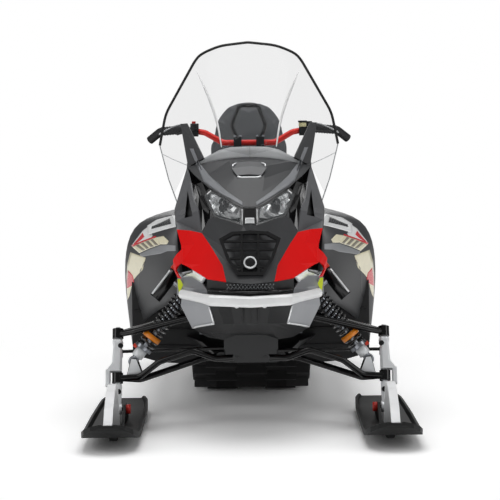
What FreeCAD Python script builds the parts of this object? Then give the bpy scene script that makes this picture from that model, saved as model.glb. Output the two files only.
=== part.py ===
import FreeCAD, Part
import math
import os

# A two-up touring snowmobile, parked on its skis and track. All lengths are in millimetres.
# The origin is on the ground under the middle of the machine. The nose faces -Y, up is +Z, and
# the rider's left hand is on the +X side. Pieces that come in pairs are drawn on the +X side.

Vec = FreeCAD.Vector

# ---------------------------------------------------------------- driving dimensions
OVERALL_LENGTH = 3240          # ski tips to the rear bumper
SKI_TIP_Y = -OVERALL_LENGTH / 2
REAR_END_Y = OVERALL_LENGTH / 2

SKI_STANCE = 1010              # between the middles of the skis
SKI_X = SKI_STANCE / 2
SKI_WIDTH = 206
SKI_LENGTH = 1070
SKI_SOLE_Z = 30                # underside of the ski's plate
SKI_PLATE = 9
SKI_KEEL_WIDTH = 46
SKI_BOLT_Y = -1066
SKI_BOLT_Z = 84
SKI_BOLT_RADIUS = 7

CASTER = 20                    # lean of the kingpin, its top towards the rear
LOWER_BALL_Y = -1025
LOWER_BALL_Z = 196
BALL_SPACING = 172             # lower to upper ball joint, along the kingpin
BALL_HOUSING_RADIUS = 21
BALL_HOUSING_HEIGHT = 38
KING_PIN_RADIUS = 9
PIN_GAP = 0.08                 # round a pin that turns in its housing
SIDE_GAP = 0.3                 # beside a piece that turns or is bolted between two others
STEER_ARM_HEIGHT = 110         # of the steering arm above the lower ball, along the kingpin
STEER_ARM_LENGTH = 90
STEER_ARM_THICKNESS = 14
TIE_ROD_RADIUS = 6.5
ROD_END_GAP = 0.5              # between a rod end and what it lies on
ROD_END_RADIUS = 14
ROD_END_HEIGHT = 14
STUD_RADIUS = 6

STEER_RAKE = 30                # lean of the steering post, its top towards the rear
BAR_CENTRE_Y = -350
BAR_CENTRE_Z = 1070
BAR_RADIUS = 12
GRIP_RADIUS = 17
POST_RADIUS = 16
POST_LENGTH = 385

BULKHEAD_FRONT = -1182         # front plate of the frame, which the arms' pivots follow

TRACK_WIDTH = 500
TRACK_CARCASS = 8
TRACK_LUG = 38                 # height of the lugs
TRACK_LUG_THICKNESS = 16
TRACK_PITCHES = 53             # rows of lugs round the loop
TUNNEL_GAP = 18                # between the track's edge and the tunnel's wall
TUNNEL_SHEET = 4
DRIVE_Y = -370
DRIVE_Z = 395
DRIVE_RADIUS = 95
NOSE_CURVE_Y = 130             # centre of the rails' front curve
NOSE_CURVE_RADIUS = 300
REAR_IDLER_Y = 1190
REAR_IDLER_RADIUS = 100
CARRIER_Y = 620
CARRIER_Z = 332
CARRIER_RADIUS = 70

PANEL = 5                      # wall of the moulded body panels
GLAZING = 4                    # wall of the polycarbonate windshield
TRACK_BASE = TRACK_LUG + TRACK_CARCASS     # height of the track's inner face above the ground
TUNNEL_IN = TRACK_WIDTH / 2 + TUNNEL_GAP
TUNNEL_OUT = TUNNEL_IN + TUNNEL_SHEET


# ---------------------------------------------------------------- making shapes
def polyhedron(faces):
    """A closed solid from flat faces, each a list of corners."""
    made = []
    for corners in faces:
        made.append(Part.Face(Part.makePolygon(list(corners) + [corners[0]])))
    shell = Part.makeShell(made)
    shell.sewShape()
    solid = Part.Solid(shell)
    if solid.Volume < 0:
        solid.reverse()
    return solid


def triangles(a, b, c, d):
    """The four-cornered facet a, b, c, d as two flat ones, without any that has no area."""
    found = []
    for tri in ([a, b, c], [a, c, d]):
        if (tri[1] - tri[0]).cross(tri[2] - tri[0]).Length > 1e-3:
            found.append(tri)
    return found


def flat_cap(corners):
    """The end of a ring of corners: one face where they lie in a plane, or else a fan."""
    normal = (corners[1] - corners[0]).cross(corners[2] - corners[0]).normalize()
    if all(abs((p - corners[0]).dot(normal)) < 1e-6 for p in corners):
        return [corners]
    return [[corners[0], p, q] for p, q in zip(corners[1:], corners[2:])]


def ring_solid(rings):
    """A solid carried through closed rings of equally many corners, with flat ends."""
    rings = [[Vec(*p) for p in ring] for ring in rings]
    faces = flat_cap(list(reversed(rings[0]))) + flat_cap(list(rings[-1]))
    for near, far in zip(rings, rings[1:]):
        for i in range(len(near)):
            j = (i + 1) % len(near)
            faces += triangles(near[i], near[j], far[j], far[i])
    return polyhedron(faces).removeSplitter()


def skin(rows, wall, behind):
    """A panel of even wall. rows is a grid of points on its outer face, and the inner face is
    set back from each along the local normal, towards the point behind."""
    outer = [[Vec(*p) for p in row] for row in rows]
    last, end = len(outer) - 1, len(outer[0]) - 1
    inner = []
    for i, row in enumerate(outer):
        line = []
        for j, point in enumerate(row):
            along = outer[min(i + 1, last)][j] - outer[max(i - 1, 0)][j]
            across = row[min(j + 1, end)] - row[max(j - 1, 0)]
            normal = along.cross(across)
            if abs(point.x) < 1e-6:
                normal.x = 0
            normal.normalize()
            if normal.dot(Vec(*behind) - point) < 0:
                normal = normal * -1
            line.append(point + normal * wall)
        inner.append(line)
    faces = []
    for grid in (outer, inner):
        for i in range(last):
            for j in range(end):
                faces += triangles(grid[i][j], grid[i][j + 1], grid[i + 1][j + 1], grid[i + 1][j])
    rim = [(0, j) for j in range(end)] + [(i, end) for i in range(last)]
    rim += [(last, j) for j in range(end, 0, -1)] + [(i, 0) for i in range(last, 0, -1)]
    for (i, j), (k, l) in zip(rim, rim[1:] + rim[:1]):
        faces += triangles(outer[i][j], outer[k][l], inner[k][l], inner[i][j])
    return polyhedron(faces)


def mirrored(shape):
    """The same piece on the other side of the machine."""
    return shape.mirror(Vec(0, 0, 0), Vec(1, 0, 0))


def pair(shape):
    """A piece and its mirror image, as two solids of one node."""
    return Part.makeCompound([shape, mirrored(shape)])


def whole(half):
    """One solid from a half that ends flat on the middle plane."""
    return half.fuse(mirrored(half)).removeSplitter()


def block(x, y, z):
    """A box between the low and high values of each axis."""
    size = (x[1] - x[0], y[1] - y[0], z[1] - z[0])
    return Part.makeBox(*size, Vec(x[0], y[0], z[0]))


def rod(start, end, radius):
    """A round bar between two points."""
    start, end = Vec(*start), Vec(*end)
    return Part.makeCylinder(radius, (end - start).Length, start, end - start)


def bent_bar(points, radius, bend):
    """A round bar along straight runs that are joined by arcs of the bend radius."""
    points = [Vec(*p) for p in points]
    edges = []
    here = points[0]
    for before, corner, after in zip(points, points[1:], points[2:]):
        u = (before - corner).normalize()
        w = (after - corner).normalize()
        half = u.getAngle(w) / 2
        reach = bend / math.tan(half)
        middle = (u + w).normalize() * (bend / math.sin(half) - bend)
        first, last = corner + u * reach, corner + w * reach
        edges.append(Part.LineSegment(here, first).toShape())
        edges.append(Part.Arc(first, corner + middle, last).toShape())
        here = last
    edges.append(Part.LineSegment(here, points[-1]).toShape())
    path = Part.Wire(edges)
    circle = Part.Wire([Part.makeCircle(radius, points[0], points[1] - points[0])])
    return path.makePipeShell([circle], True, False)


def side_plate(outline, x0, x1):
    """A plate with an outline of (y, z) corners, between two values of x."""
    corners = [Vec(x0, y, z) for y, z in outline]
    face = Part.Face(Part.makePolygon(corners + corners[:1]))
    return face.extrude(Vec(x1 - x0, 0, 0))


def front_plate(outline, y0, y1):
    """A plate with an outline of (x, z) corners, between two values of y."""
    corners = [Vec(x, y0, z) for x, z in outline]
    face = Part.Face(Part.makePolygon(corners + corners[:1]))
    return face.extrude(Vec(0, y1 - y0, 0))


def fused(shapes):
    """One solid from pieces that meet."""
    return shapes[0].multiFuse(shapes[1:]).removeSplitter()


# ---------------------------------------------------------------- front suspension
# Kingpin: the line through both ball joints of a ski leg, which the leg turns about.
LEAN = math.radians(CASTER)
KING = Vec(0, math.sin(LEAN), math.cos(LEAN))          # up along the kingpin
KING_BACK = Vec(0, math.cos(LEAN), -math.sin(LEAN))    # square to it, towards the rear
LOWER_BALL = Vec(SKI_X, LOWER_BALL_Y, LOWER_BALL_Z)
UPPER_BALL = LOWER_BALL + KING * BALL_SPACING
HOUSING_GAP = 6                # between a ball housing and the leg
ARM_TUBE = 12
LOWER_BEND = 52                # bend radius of the lower arm's tubes
UPPER_BEND = 45
GUSSET_HALF = 5
EAR_PLATE = 8                  # each plate of the shock's bracket


def on_leg(along, back=0, side=0):
    """A point given by its distance along the kingpin, behind it and beside it."""
    return LOWER_BALL + KING * along + KING_BACK * back + Vec(side, 0, 0)


def leg_block(sections):
    """A forged length of the leg. Columns: along the kingpin, front, back, inner side, outer side."""
    rings = []
    for along, front, back, inner, outer in sections:
        bevel = min(outer - inner, back - front) * 0.22
        corners = [
            (front, outer - bevel), (front + bevel, outer), (back - bevel, outer), (back, outer - bevel),
            (back, inner + bevel), (back - bevel, inner), (front + bevel, inner), (front, inner + bevel),
        ]
        rings.append([on_leg(along, b, s) for b, s in corners])
    return ring_solid(rings)


def ski_leg():
    """The forged leg: it bows outwards round the lower ball housing, with a pin through both
    housings, an arm for the tie rod and an eye for the ski bolt."""
    clear = BALL_HOUSING_HEIGHT / 2 + HOUSING_GAP
    web = BALL_HOUSING_RADIUS + HOUSING_GAP
    top = BALL_SPACING - clear
    upper = leg_block([
        (clear, -19, 19, -16, web + 18), (clear + 34, -18, 18, -16, web - 6), (top - 26, -17, 17, -16, 17),
        (top - 8, -20, 20, -20, 20), (top, -18, 18, -18, 18),
    ])
    bow = leg_block([(-clear - 6, -17, 17, web, web + 18), (clear + 6, -17, 17, web, web + 18)])
    lower = leg_block([
        (-124, -14, 14, -14, 14), (-100, -17, 17, -14, 14), (-58, -18, 18, -16, web),
        (-clear, -19, 19, -16, web + 18),
    ])
    king_pin = rod(on_leg(-clear - 4), on_leg(BALL_SPACING + BALL_HOUSING_HEIGHT / 2 + 6), KING_PIN_RADIUS)
    half = STEER_ARM_THICKNESS / 2
    reach = STEER_ARM_LENGTH + ROD_END_RADIUS
    arm = leg_block([
        (STEER_ARM_HEIGHT - half, 0, reach, -13, 13), (STEER_ARM_HEIGHT + half, 0, reach, -13, 13),
    ])
    stud = rod(on_leg(STEER_ARM_HEIGHT, STEER_ARM_LENGTH),
               on_leg(STEER_ARM_HEIGHT + half + ROD_END_HEIGHT + 6, STEER_ARM_LENGTH), STUD_RADIUS)
    bolt_eye = rod((SKI_X - 17, SKI_BOLT_Y, SKI_BOLT_Z), (SKI_X + 17, SKI_BOLT_Y, SKI_BOLT_Z), 21)
    leg = fused([upper, bow, lower, king_pin, arm, stud, bolt_eye])
    reach = SKI_WIDTH / 2
    bolt = rod((SKI_X - reach, SKI_BOLT_Y, SKI_BOLT_Z), (SKI_X + reach, SKI_BOLT_Y, SKI_BOLT_Z),
               SKI_BOLT_RADIUS + PIN_GAP)
    return leg.cut(bolt)


def ball_housing(centre):
    """The end of a suspension arm: a ring that the kingpin turns in."""
    half = KING * (BALL_HOUSING_HEIGHT / 2)
    body = rod(centre - half, centre + half, BALL_HOUSING_RADIUS)
    return body, rod(centre - half * 1.2, centre + half * 1.2, KING_PIN_RADIUS + PIN_GAP)


LOWER_FRONT_PIVOT = Vec(52, BULKHEAD_FRONT + 32, 286)
LOWER_REAR_PIVOT = Vec(118, -790, 250)
UPPER_FRONT_PIVOT = Vec(150, BULKHEAD_FRONT + 90, 446)
UPPER_REAR_PIVOT = Vec(150, -842, 446)
PIVOT_RADIUS = 17
PIVOT_LENGTH = 44
PIVOT_BOLT_RADIUS = 6
SHOCK_FOOT = Vec(446, -1003, 258)
SHOCK_HEAD = Vec(206, -968, 560)
SHOCK_BOLT_RADIUS = 6
SHOCK_EYE_HALF = 14            # half the width of the eye at either end


def pivot_boss(centre):
    """The sleeve at an arm's inner end, along the machine."""
    return rod(centre - Vec(0, PIVOT_LENGTH / 2, 0), centre + Vec(0, PIVOT_LENGTH / 2, 0), PIVOT_RADIUS)


def pivot_bore(centre):
    """The room of the bolt through an arm's sleeve."""
    reach = Vec(0, PIVOT_LENGTH, 0)
    return rod(centre - reach, centre + reach, PIVOT_BOLT_RADIUS + PIN_GAP)


def lower_arm():
    """The lower A-arm: a swan-necked front tube, a straight rear tube and the shock's bracket."""
    body, bore = ball_housing(LOWER_BALL)
    front = bent_bar([
        LOWER_BALL - Vec(4, 2, 0), (420, -1046, 203), (345, -1066, 262),
        LOWER_FRONT_PIVOT + Vec(163, 52, 20), LOWER_FRONT_PIVOT + Vec(78, 8, -6), LOWER_FRONT_PIVOT,
    ], ARM_TUBE, LOWER_BEND)
    rear = bent_bar([
        LOWER_BALL - Vec(4, -2, 0), (420, -975, 184), LOWER_REAR_PIVOT + Vec(72, -10, -10),
        LOWER_REAR_PIVOT,
    ], ARM_TUBE, LOWER_BEND)
    gusset = Part.makePolygon([Vec(*p) for p in (
        (482, -1032, 199), (424, -1046, 205), (396, -1048, 214), (392, -966, 205), (424, -976, 203),
        (482, -1014, 199), (482, -1032, 199))])
    corners = [v.Point for v in gusset.Vertexes]
    plate = ring_solid([
        [c - Vec(0, 0, GUSSET_HALF) for c in corners], [c + Vec(0, 0, GUSSET_HALF) for c in corners]])
    ears = []
    for y in (SHOCK_FOOT.y - 27, SHOCK_FOOT.y + 19):
        ears.append(front_plate([
            (SHOCK_FOOT.x - 36, 208), (SHOCK_FOOT.x - 14, SHOCK_FOOT.z + 12),
            (SHOCK_FOOT.x + 8, SHOCK_FOOT.z + 14), (SHOCK_FOOT.x + 24, 208)], y, y + EAR_PLATE))
    bosses = [pivot_boss(LOWER_FRONT_PIVOT), pivot_boss(LOWER_REAR_PIVOT)]
    arm = fused([body, front, rear, plate] + bosses + ears)
    pin = rod(SHOCK_FOOT - Vec(0, 40, 0), SHOCK_FOOT + Vec(0, 40, 0), SHOCK_BOLT_RADIUS + PIN_GAP)
    return arm.cut(Part.makeCompound([
        bore, pin, pivot_bore(LOWER_FRONT_PIVOT), pivot_bore(LOWER_REAR_PIVOT)]))


def upper_arm():
    """The upper A-arm, whose two tubes pass either side of the shock."""
    body, bore = ball_housing(UPPER_BALL)
    arms = [body]
    for pivot in (UPPER_FRONT_PIVOT, UPPER_REAR_PIVOT):
        side = -1 if pivot.y < UPPER_BALL.y else 1
        arms.append(bent_bar([
            UPPER_BALL + Vec(-6, 4 * side, 0), UPPER_BALL + Vec(-66, 36 * side, 14), pivot,
        ], ARM_TUBE, UPPER_BEND))
        arms.append(pivot_boss(pivot))
    return fused(arms).cut(Part.makeCompound([
        bore, pivot_bore(UPPER_FRONT_PIVOT), pivot_bore(UPPER_REAR_PIVOT)]))


# The shock: a body and rod between two eyes, with a coil spring and a reservoir on top.
SHOCK_AXIS = (SHOCK_HEAD - SHOCK_FOOT).normalize()
SHOCK_LENGTH = (SHOCK_HEAD - SHOCK_FOOT).Length
SHOCK_SIDE = SHOCK_AXIS.cross(Vec(0, 1, 0)).normalize() * -1      # up and outward, square to it
SPRING_START = 70
SPRING_END = 318
SPRING_RADIUS = 30
SPRING_WIRE = 5
SPRING_TURNS = 7
RESERVOIR_OUT = 82             # from the shock's axis to the reservoir's
SPRING_STEPS = 11              # facets in a turn
SEAT_RADIUS = 34               # the plates that the spring stands between
SEAT_PLATE = 14
SEAT_GAP = 0.4                 # between the spring's end and its plate
SHOCK_ROD_RADIUS = 9
SHOCK_BODY_RADIUS = 18
SHOCK_BODY_START = 160
RESERVOIR_RADIUS = 23
RESERVOIR_SPAN = (150, 20)     # its foot and its cap, back from the head's bolt
BRIDGE_BACK = 54               # of the bridge to the reservoir, from the head's bolt
BRIDGE_RADIUS = 13


def on_shock(along, out=0):
    """A point along the shock from its foot, and out towards the reservoir's side."""
    return SHOCK_FOOT + SHOCK_AXIS * along + SHOCK_SIDE * out


def shock_body():
    """Damper: eyes, rod, body, spring seats and the piggyback reservoir."""
    head = SHOCK_LENGTH
    eye = Vec(0, SHOCK_EYE_HALF, 0)
    low, cap = head - RESERVOIR_SPAN[0], head - RESERVOIR_SPAN[1]
    pieces = [
        rod(SHOCK_FOOT - eye, SHOCK_FOOT + eye, 19),
        rod(SHOCK_HEAD - eye, SHOCK_HEAD + eye, 17),
        rod(on_shock(10), on_shock(SPRING_START), 15),
        rod(on_shock(SPRING_START - SEAT_PLATE), on_shock(SPRING_START - SEAT_GAP), SEAT_RADIUS),
        rod(on_shock(SPRING_START - 2), on_shock(SHOCK_BODY_START + 10), SHOCK_ROD_RADIUS),
        rod(on_shock(SHOCK_BODY_START), on_shock(head - 36), SHOCK_BODY_RADIUS),
        rod(on_shock(head - 60), on_shock(head - 6), 12.5),
        rod(on_shock(SPRING_END + SEAT_GAP), on_shock(SPRING_END + SEAT_PLATE), SEAT_RADIUS),
        rod(on_shock(head - BRIDGE_BACK, 6), on_shock(head - BRIDGE_BACK, RESERVOIR_OUT), BRIDGE_RADIUS),
        rod(on_shock(low, RESERVOIR_OUT), on_shock(cap, RESERVOIR_OUT), RESERVOIR_RADIUS),
    ]
    reach = Vec(0, 30, 0)
    pins = rod(SHOCK_FOOT - reach, SHOCK_FOOT + reach, SHOCK_BOLT_RADIUS + PIN_GAP)
    pins = pins.fuse(rod(SHOCK_HEAD - reach, SHOCK_HEAD + reach, SHOCK_BOLT_RADIUS + PIN_GAP))
    return fused(pieces).cut(pins)


def coil(start, end, axis_point, radius, wire, turns):
    """A coil spring: a five-sided wire carried round the axis from start to end."""
    side = SHOCK_AXIS.cross(SHOCK_SIDE)
    rings = []
    steps = turns * SPRING_STEPS
    for k in range(steps + 1):
        turn = 2 * math.pi * k / SPRING_STEPS
        out = SHOCK_SIDE * math.cos(turn) + side * math.sin(turn)
        along = start + wire + (end - start - 2 * wire) * k / steps
        centre = axis_point(along) + out * radius
        ring = []
        for q in range(5):
            a = 2 * math.pi * q / 5
            ring.append(centre + out * (wire * math.cos(a)) + SHOCK_AXIS * (wire * math.sin(a)))
        rings.append(ring)
    return ring_solid(rings)


# ---------------------------------------------------------------- skis
def ski():
    """A moulded ski: a plate with raised edges, a turned-up tip, a keel with its wear bar and
    two saddle walls for the bolt."""
    y0, y1 = SKI_TIP_Y, SKI_TIP_Y + SKI_LENGTH
    # Columns: distance from the tip, half width, height of the sole, height of the raised edge.
    sections = [
        (0, 30, 96, 4), (14, 62, 84, 7), (50, 88, 66, 10), (110, 101, 46, 13), (190, 103, 34, 15),
        (270, 103, SKI_SOLE_Z, 16), (560, 101, SKI_SOLE_Z, 18), (SKI_LENGTH - 170, 97, SKI_SOLE_Z, 16),
        (SKI_LENGTH - 60, 92, 36, 13), (SKI_LENGTH, 78, 46, 8),
    ]
    rings = []
    for d, half, sole, lip in sections:
        y = y0 + d
        top = sole + SKI_PLATE
        outline = [
            (-half, sole), (half, sole), (half, top + lip), (half - 9, top + lip), (half - 15, top),
            (15 - half, top), (9 - half, top + lip), (-half, top + lip),
        ]
        rings.append([(SKI_X + x, y, z) for x, z in outline])
    plate = ring_solid(rings)
    half = SKI_KEEL_WIDTH / 2
    keel_rings = []
    keel_end = SKI_LENGTH - 80
    # Columns: distance from the tip, height of the keel's foot, height of its top in the plate.
    keel_rows = [(235, 30, 36), (290, 6, 40), (350, 0, 40), (keel_end - 140, 0, 40),
                 (keel_end - 60, 14, 40), (keel_end, 33, 38)]
    for d, low, high in keel_rows:
        keel_rings.append([(SKI_X + x, y0 + d, z) for x, z in (
            (-half * 0.55, low), (half * 0.55, low), (half, high), (-half, high))])
    keel = ring_solid(keel_rings)
    walls = []
    for side in (-1, 1):
        x = SKI_X + side * SADDLE_X
        outline = [
            (SKI_BOLT_Y - 120, SKI_SOLE_Z + 6), (SKI_BOLT_Y - 92, 62),
            (SKI_BOLT_Y - 24, SKI_BOLT_Z + 20), (SKI_BOLT_Y + 24, SKI_BOLT_Z + 20),
            (SKI_BOLT_Y + 110, 62), (SKI_BOLT_Y + 150, SKI_SOLE_Z + 6),
        ]
        walls.append(side_plate(outline, x - 5, x + 5))
    reach = SADDLE_X + 14
    bolt = rod((SKI_X - reach, SKI_BOLT_Y, SKI_BOLT_Z), (SKI_X + reach, SKI_BOLT_Y, SKI_BOLT_Z),
               SKI_BOLT_RADIUS)
    return fused([plate, keel, bolt] + walls)


SADDLE_X = 28                  # middle of each saddle wall, from the ski's middle
HANDLE_HALF = 16
HANDLE_DRAWN_REACH = 554       # from the tip to the leg's bolt, where the strap's line is drawn


def ski_handle():
    """The strap loop at the tip: up from the tip, over and down to the deck before the leg."""
    # Columns: distance from the tip, height of the strap's middle, half thickness across it.
    line = [(24, 98), (90, 150), (190, 194), (290, 207), (350, 194), (404, 130), (436, 34)]
    stretch = (SKI_BOLT_Y - SKI_TIP_Y) / HANDLE_DRAWN_REACH
    line = [(d * stretch, z) for d, z in line]
    rings = []
    for k, (d, z) in enumerate(line):
        before, after = line[max(k - 1, 0)], line[min(k + 1, len(line) - 1)]
        dy, dz = after[0] - before[0], after[1] - before[1]
        size = math.hypot(dy, dz)
        ny, nz = -dz / size * 7, dy / size * 7
        y = SKI_TIP_Y + d
        rings.append([
            (SKI_X - HANDLE_HALF, y - ny, z - nz), (SKI_X + HANDLE_HALF, y - ny, z - nz),
            (SKI_X + HANDLE_HALF, y + ny, z + nz), (SKI_X - HANDLE_HALF, y + ny, z + nz)])
    return ring_solid(rings)


# ---------------------------------------------------------------- steering
RAKE = math.radians(STEER_RAKE)
STEER = Vec(0, math.sin(RAKE), math.cos(RAKE))
BAR_CENTRE = Vec(0, BAR_CENTRE_Y, BAR_CENTRE_Z)
GRIP_START = Vec(262, -318, 1126)
BAR_LINE = [Vec(0, BAR_CENTRE_Y, BAR_CENTRE_Z), Vec(105, BAR_CENTRE_Y, BAR_CENTRE_Z), Vec(178, -338, 1112)]
GRIP_LINE = [GRIP_START, Vec(362, -278, 1118), Vec(408, -248, 1082)]


def handlebar():
    """The red bar: a straight middle, a rise on each side and a stub inside each grip."""
    right = BAR_LINE + [GRIP_START + (GRIP_START - BAR_LINE[-1]).normalize() * 3]
    left = [Vec(-p.x, p.y, p.z) for p in reversed(right[1:])]
    return bent_bar(left + right[1:], BAR_RADIUS, 45)


def grip():
    """A rubber grip with a hooked end."""
    start = GRIP_START + (GRIP_START - BAR_LINE[-1]).normalize() * 3.3
    return bent_bar([start] + GRIP_LINE[1:], GRIP_RADIUS, 34)


def steering_post():
    """The post, its riser block with the two bar clamps, and a collar in the bearing."""
    foot = BAR_CENTRE - STEER * POST_LENGTH
    post = rod(foot, BAR_CENTRE - STEER * 30, POST_RADIUS)
    riser = block((-44, 44), (BAR_CENTRE_Y - 26, BAR_CENTRE_Y + 22), (BAR_CENTRE_Z - 62, BAR_CENTRE_Z - 18))
    clamps = []
    for side in (-1, 1):
        x = side * 46
        clamps.append(block((x - 16, x + 16), (BAR_CENTRE_Y - 22, BAR_CENTRE_Y + 22),
                            (BAR_CENTRE_Z - 36, BAR_CENTRE_Z + 24)))
    made = fused([post, riser] + clamps)
    return made.cut(rod((-120, BAR_CENTRE_Y, BAR_CENTRE_Z), (120, BAR_CENTRE_Y, BAR_CENTRE_Z), BAR_RADIUS))


def grab_hoop():
    """The hand hoop that stands on the bar clamps."""
    foot_z = BAR_CENTRE_Z + 24
    y = BAR_CENTRE_Y
    line = [(52, y, foot_z), (68, y - 4, foot_z + 46), (38, y - 12, foot_z + 128)]
    mirror = [(-x, yy, z) for x, yy, z in reversed(line)]
    return bent_bar(line + mirror, 9, 22)


def hand_control(lever_reach, block_top):
    """A control block on the bar with its lever in front of the grip."""
    middle = Vec(232, -327, 1121)
    body = block((middle.x - 26, middle.x + 26), (middle.y - 24, middle.y + 22),
                 (middle.z - 24, middle.z + block_top))
    lever = bent_bar([
        (middle.x, middle.y - 18, middle.z - 8), (middle.x + 34, middle.y - 44, middle.z - 6),
        (middle.x + lever_reach, middle.y - 22, middle.z - 14)], 5, 20)
    made = fused([body, lever])
    line = [BAR_LINE[1], BAR_LINE[2], GRIP_START + (GRIP_START - BAR_LINE[-1]).normalize() * 30]
    return made.cut(bent_bar(line, BAR_RADIUS, 45)).cut(grip())


PITMAN_FOOT = Vec(0, LOWER_BALL_Y, LOWER_BALL_Z) + KING * STEER_ARM_HEIGHT
PITMAN_STUD = PITMAN_FOOT + KING_BACK * STEER_ARM_LENGTH
PITMAN_PIN_RADIUS = 10


def pitman_arm():
    """The bell crank in the middle that both tie rods hang on."""
    half = STEER_ARM_THICKNESS / 2
    hub = rod(PITMAN_FOOT - KING * half, PITMAN_FOOT + KING * half, 24)
    corners = [(0, -18), (0, 18), (STEER_ARM_LENGTH, 13), (STEER_ARM_LENGTH + 12, 8),
               (STEER_ARM_LENGTH + 12, -8), (STEER_ARM_LENGTH, -13)]
    rings = []
    for level in (-half, half):
        rings.append([PITMAN_FOOT + KING * level + KING_BACK * b + Vec(s, 0, 0) for b, s in corners])
    reach = half + 2 * (ROD_END_HEIGHT + ROD_END_GAP) + 5
    stud = rod(PITMAN_STUD, PITMAN_STUD + KING * reach, STUD_RADIUS)
    arm = fused([hub, ring_solid(rings), stud])
    pin = rod(PITMAN_FOOT - KING * 40, PITMAN_FOOT + KING * 40, PITMAN_PIN_RADIUS + PIN_GAP)
    return arm.cut(pin)


def tie_rod(level):
    """A tie rod on the +X side. level is 0 where its inner eye lies on the crank, and 1 where it
    lies on the other rod's eye."""
    lift = STEER_ARM_THICKNESS / 2 + ROD_END_GAP + ROD_END_HEIGHT / 2
    inner = PITMAN_STUD + KING * (lift + level * (ROD_END_HEIGHT + ROD_END_GAP))
    outer = on_leg(STEER_ARM_HEIGHT + lift, STEER_ARM_LENGTH)
    half = KING * (ROD_END_HEIGHT / 2)
    shape = rod(inner, outer, TIE_ROD_RADIUS)
    for eye in (inner, outer):
        shape = shape.fuse(rod(eye - half, eye + half, ROD_END_RADIUS))
    for eye, gap in ((inner, PIN_GAP), (outer, SIDE_GAP)):
        shape = shape.cut(rod(eye - half * 2.2, eye + half * 2.2, STUD_RADIUS + gap))
    return shape.removeSplitter()


# ---------------------------------------------------------------- frame
BULKHEAD_HALF = 100            # outer face of the bulkhead's side plates
BULKHEAD_WALL = 5
ENGINE_FRONT = -800
ENGINE_FLOOR = 335
ENGINE_TOP = 606
ENGINE_CLEAR = 6               # between the engine and the bulkhead's wall ahead of it
BULKHEAD_REAR = DRIVE_Y - DRIVE_RADIUS - TRACK_BASE - 20
PIVOT_EAR = 6
TUNNEL_FRONT = BULKHEAD_REAR
TUNNEL_REAR = 1360
TUNNEL_FOOT_Z = 296
# Top of the tunnel. Columns: y, z.
TUNNEL_TOP = [(TUNNEL_FRONT, 590), (-180, 590), (620, 530), (TUNNEL_REAR, 500)]


def tunnel_top(y):
    """Height of the tunnel's upper face at a place along the machine."""
    for (y0, z0), (y1, z1) in zip(TUNNEL_TOP, TUNNEL_TOP[1:]):
        if y <= y1:
            return z0 + (z1 - z0) * (y - y0) / (y1 - y0)
    return TUNNEL_TOP[-1][1]


def pivot_ears(centre, wall_x):
    """Two ears and a bolt that hold an arm's sleeve to the bulkhead's side plate."""
    reach = PIVOT_LENGTH / 2 + SIDE_GAP
    pieces = [rod(centre - Vec(0, reach + PIVOT_EAR + 5, 0), centre + Vec(0, reach + PIVOT_EAR + 5, 0),
                  PIVOT_BOLT_RADIUS)]
    for side in (-1, 1):
        y0 = centre.y + side * reach
        y1 = y0 + side * PIVOT_EAR
        ear = block((wall_x, centre.x), (min(y0, y1), max(y0, y1)),
                    (centre.z - PIVOT_RADIUS, centre.z + PIVOT_RADIUS))
        pieces.append(ear.fuse(rod((centre.x, y0, centre.z), (centre.x, y1, centre.z), PIVOT_RADIUS)))
    return pieces


def bulkhead():
    """The front frame: two pierced side plates with cross plates, a keel box and the ears of
    the arms, and the pin that the bell crank turns on."""
    front, wall = BULKHEAD_FRONT, ENGINE_FRONT - ENGINE_CLEAR
    side = [
        (front, 318), (front + 82, 318), (front + 82, 261), (-700, 228), (BULKHEAD_REAR, 236),
        (BULKHEAD_REAR, ENGINE_FLOOR), (wall, ENGINE_FLOOR), (wall, 472), (front + 62, 490), (front, 470),
    ]
    holes = [
        [(front + 32, 345), (front + 122, 345), (front + 122, 440), (front + 32, 440)],
        [(-1030, 300), (-950, 268), (-858, 262), (-858, 400), (-965, 440), (-1030, 440)],
        [(-750, 262), (-570, 262), (-570, 312), (-750, 312)],
    ]
    inner = BULKHEAD_HALF - BULKHEAD_WALL
    plate = side_plate(side, inner, BULKHEAD_HALF)
    for hole in holes:
        plate = plate.cut(side_plate(hole, inner - 5, BULKHEAD_HALF + 5))
    cross = [
        block((0, inner), (front, front + BULKHEAD_WALL), (300, 470)),
        block((0, inner), (wall - BULKHEAD_WALL, wall), (240, 470)),
        block((0, TUNNEL_OUT), (BULKHEAD_REAR - BULKHEAD_WALL, BULKHEAD_REAR), (236, 560)),
    ]
    floor = side_plate([
        (front + 52, 263), (-700, 228), (BULKHEAD_REAR, 236), (BULKHEAD_REAR, 241), (-700, 233),
        (front + 52, 268)], 0, inner)
    pieces = [plate, floor] + cross
    pieces += pivot_ears(LOWER_FRONT_PIVOT, 0)
    pieces += pivot_ears(LOWER_REAR_PIVOT, inner)
    pieces += pivot_ears(UPPER_FRONT_PIVOT, inner)
    pieces += pivot_ears(UPPER_REAR_PIVOT, inner)
    half = fused(pieces)
    both = whole(half)
    foot = PITMAN_FOOT - KING * (STEER_ARM_THICKNESS / 2 + SIDE_GAP)
    post = rod(foot - KING * 34, foot, 24).fuse(rod(foot, PITMAN_FOOT + KING * 16, PITMAN_PIN_RADIUS))
    return fused([both, post])


ENGINE_HALF = 200
HEAD_BRACKET = 6
FRAME_TUBE = 11


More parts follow.
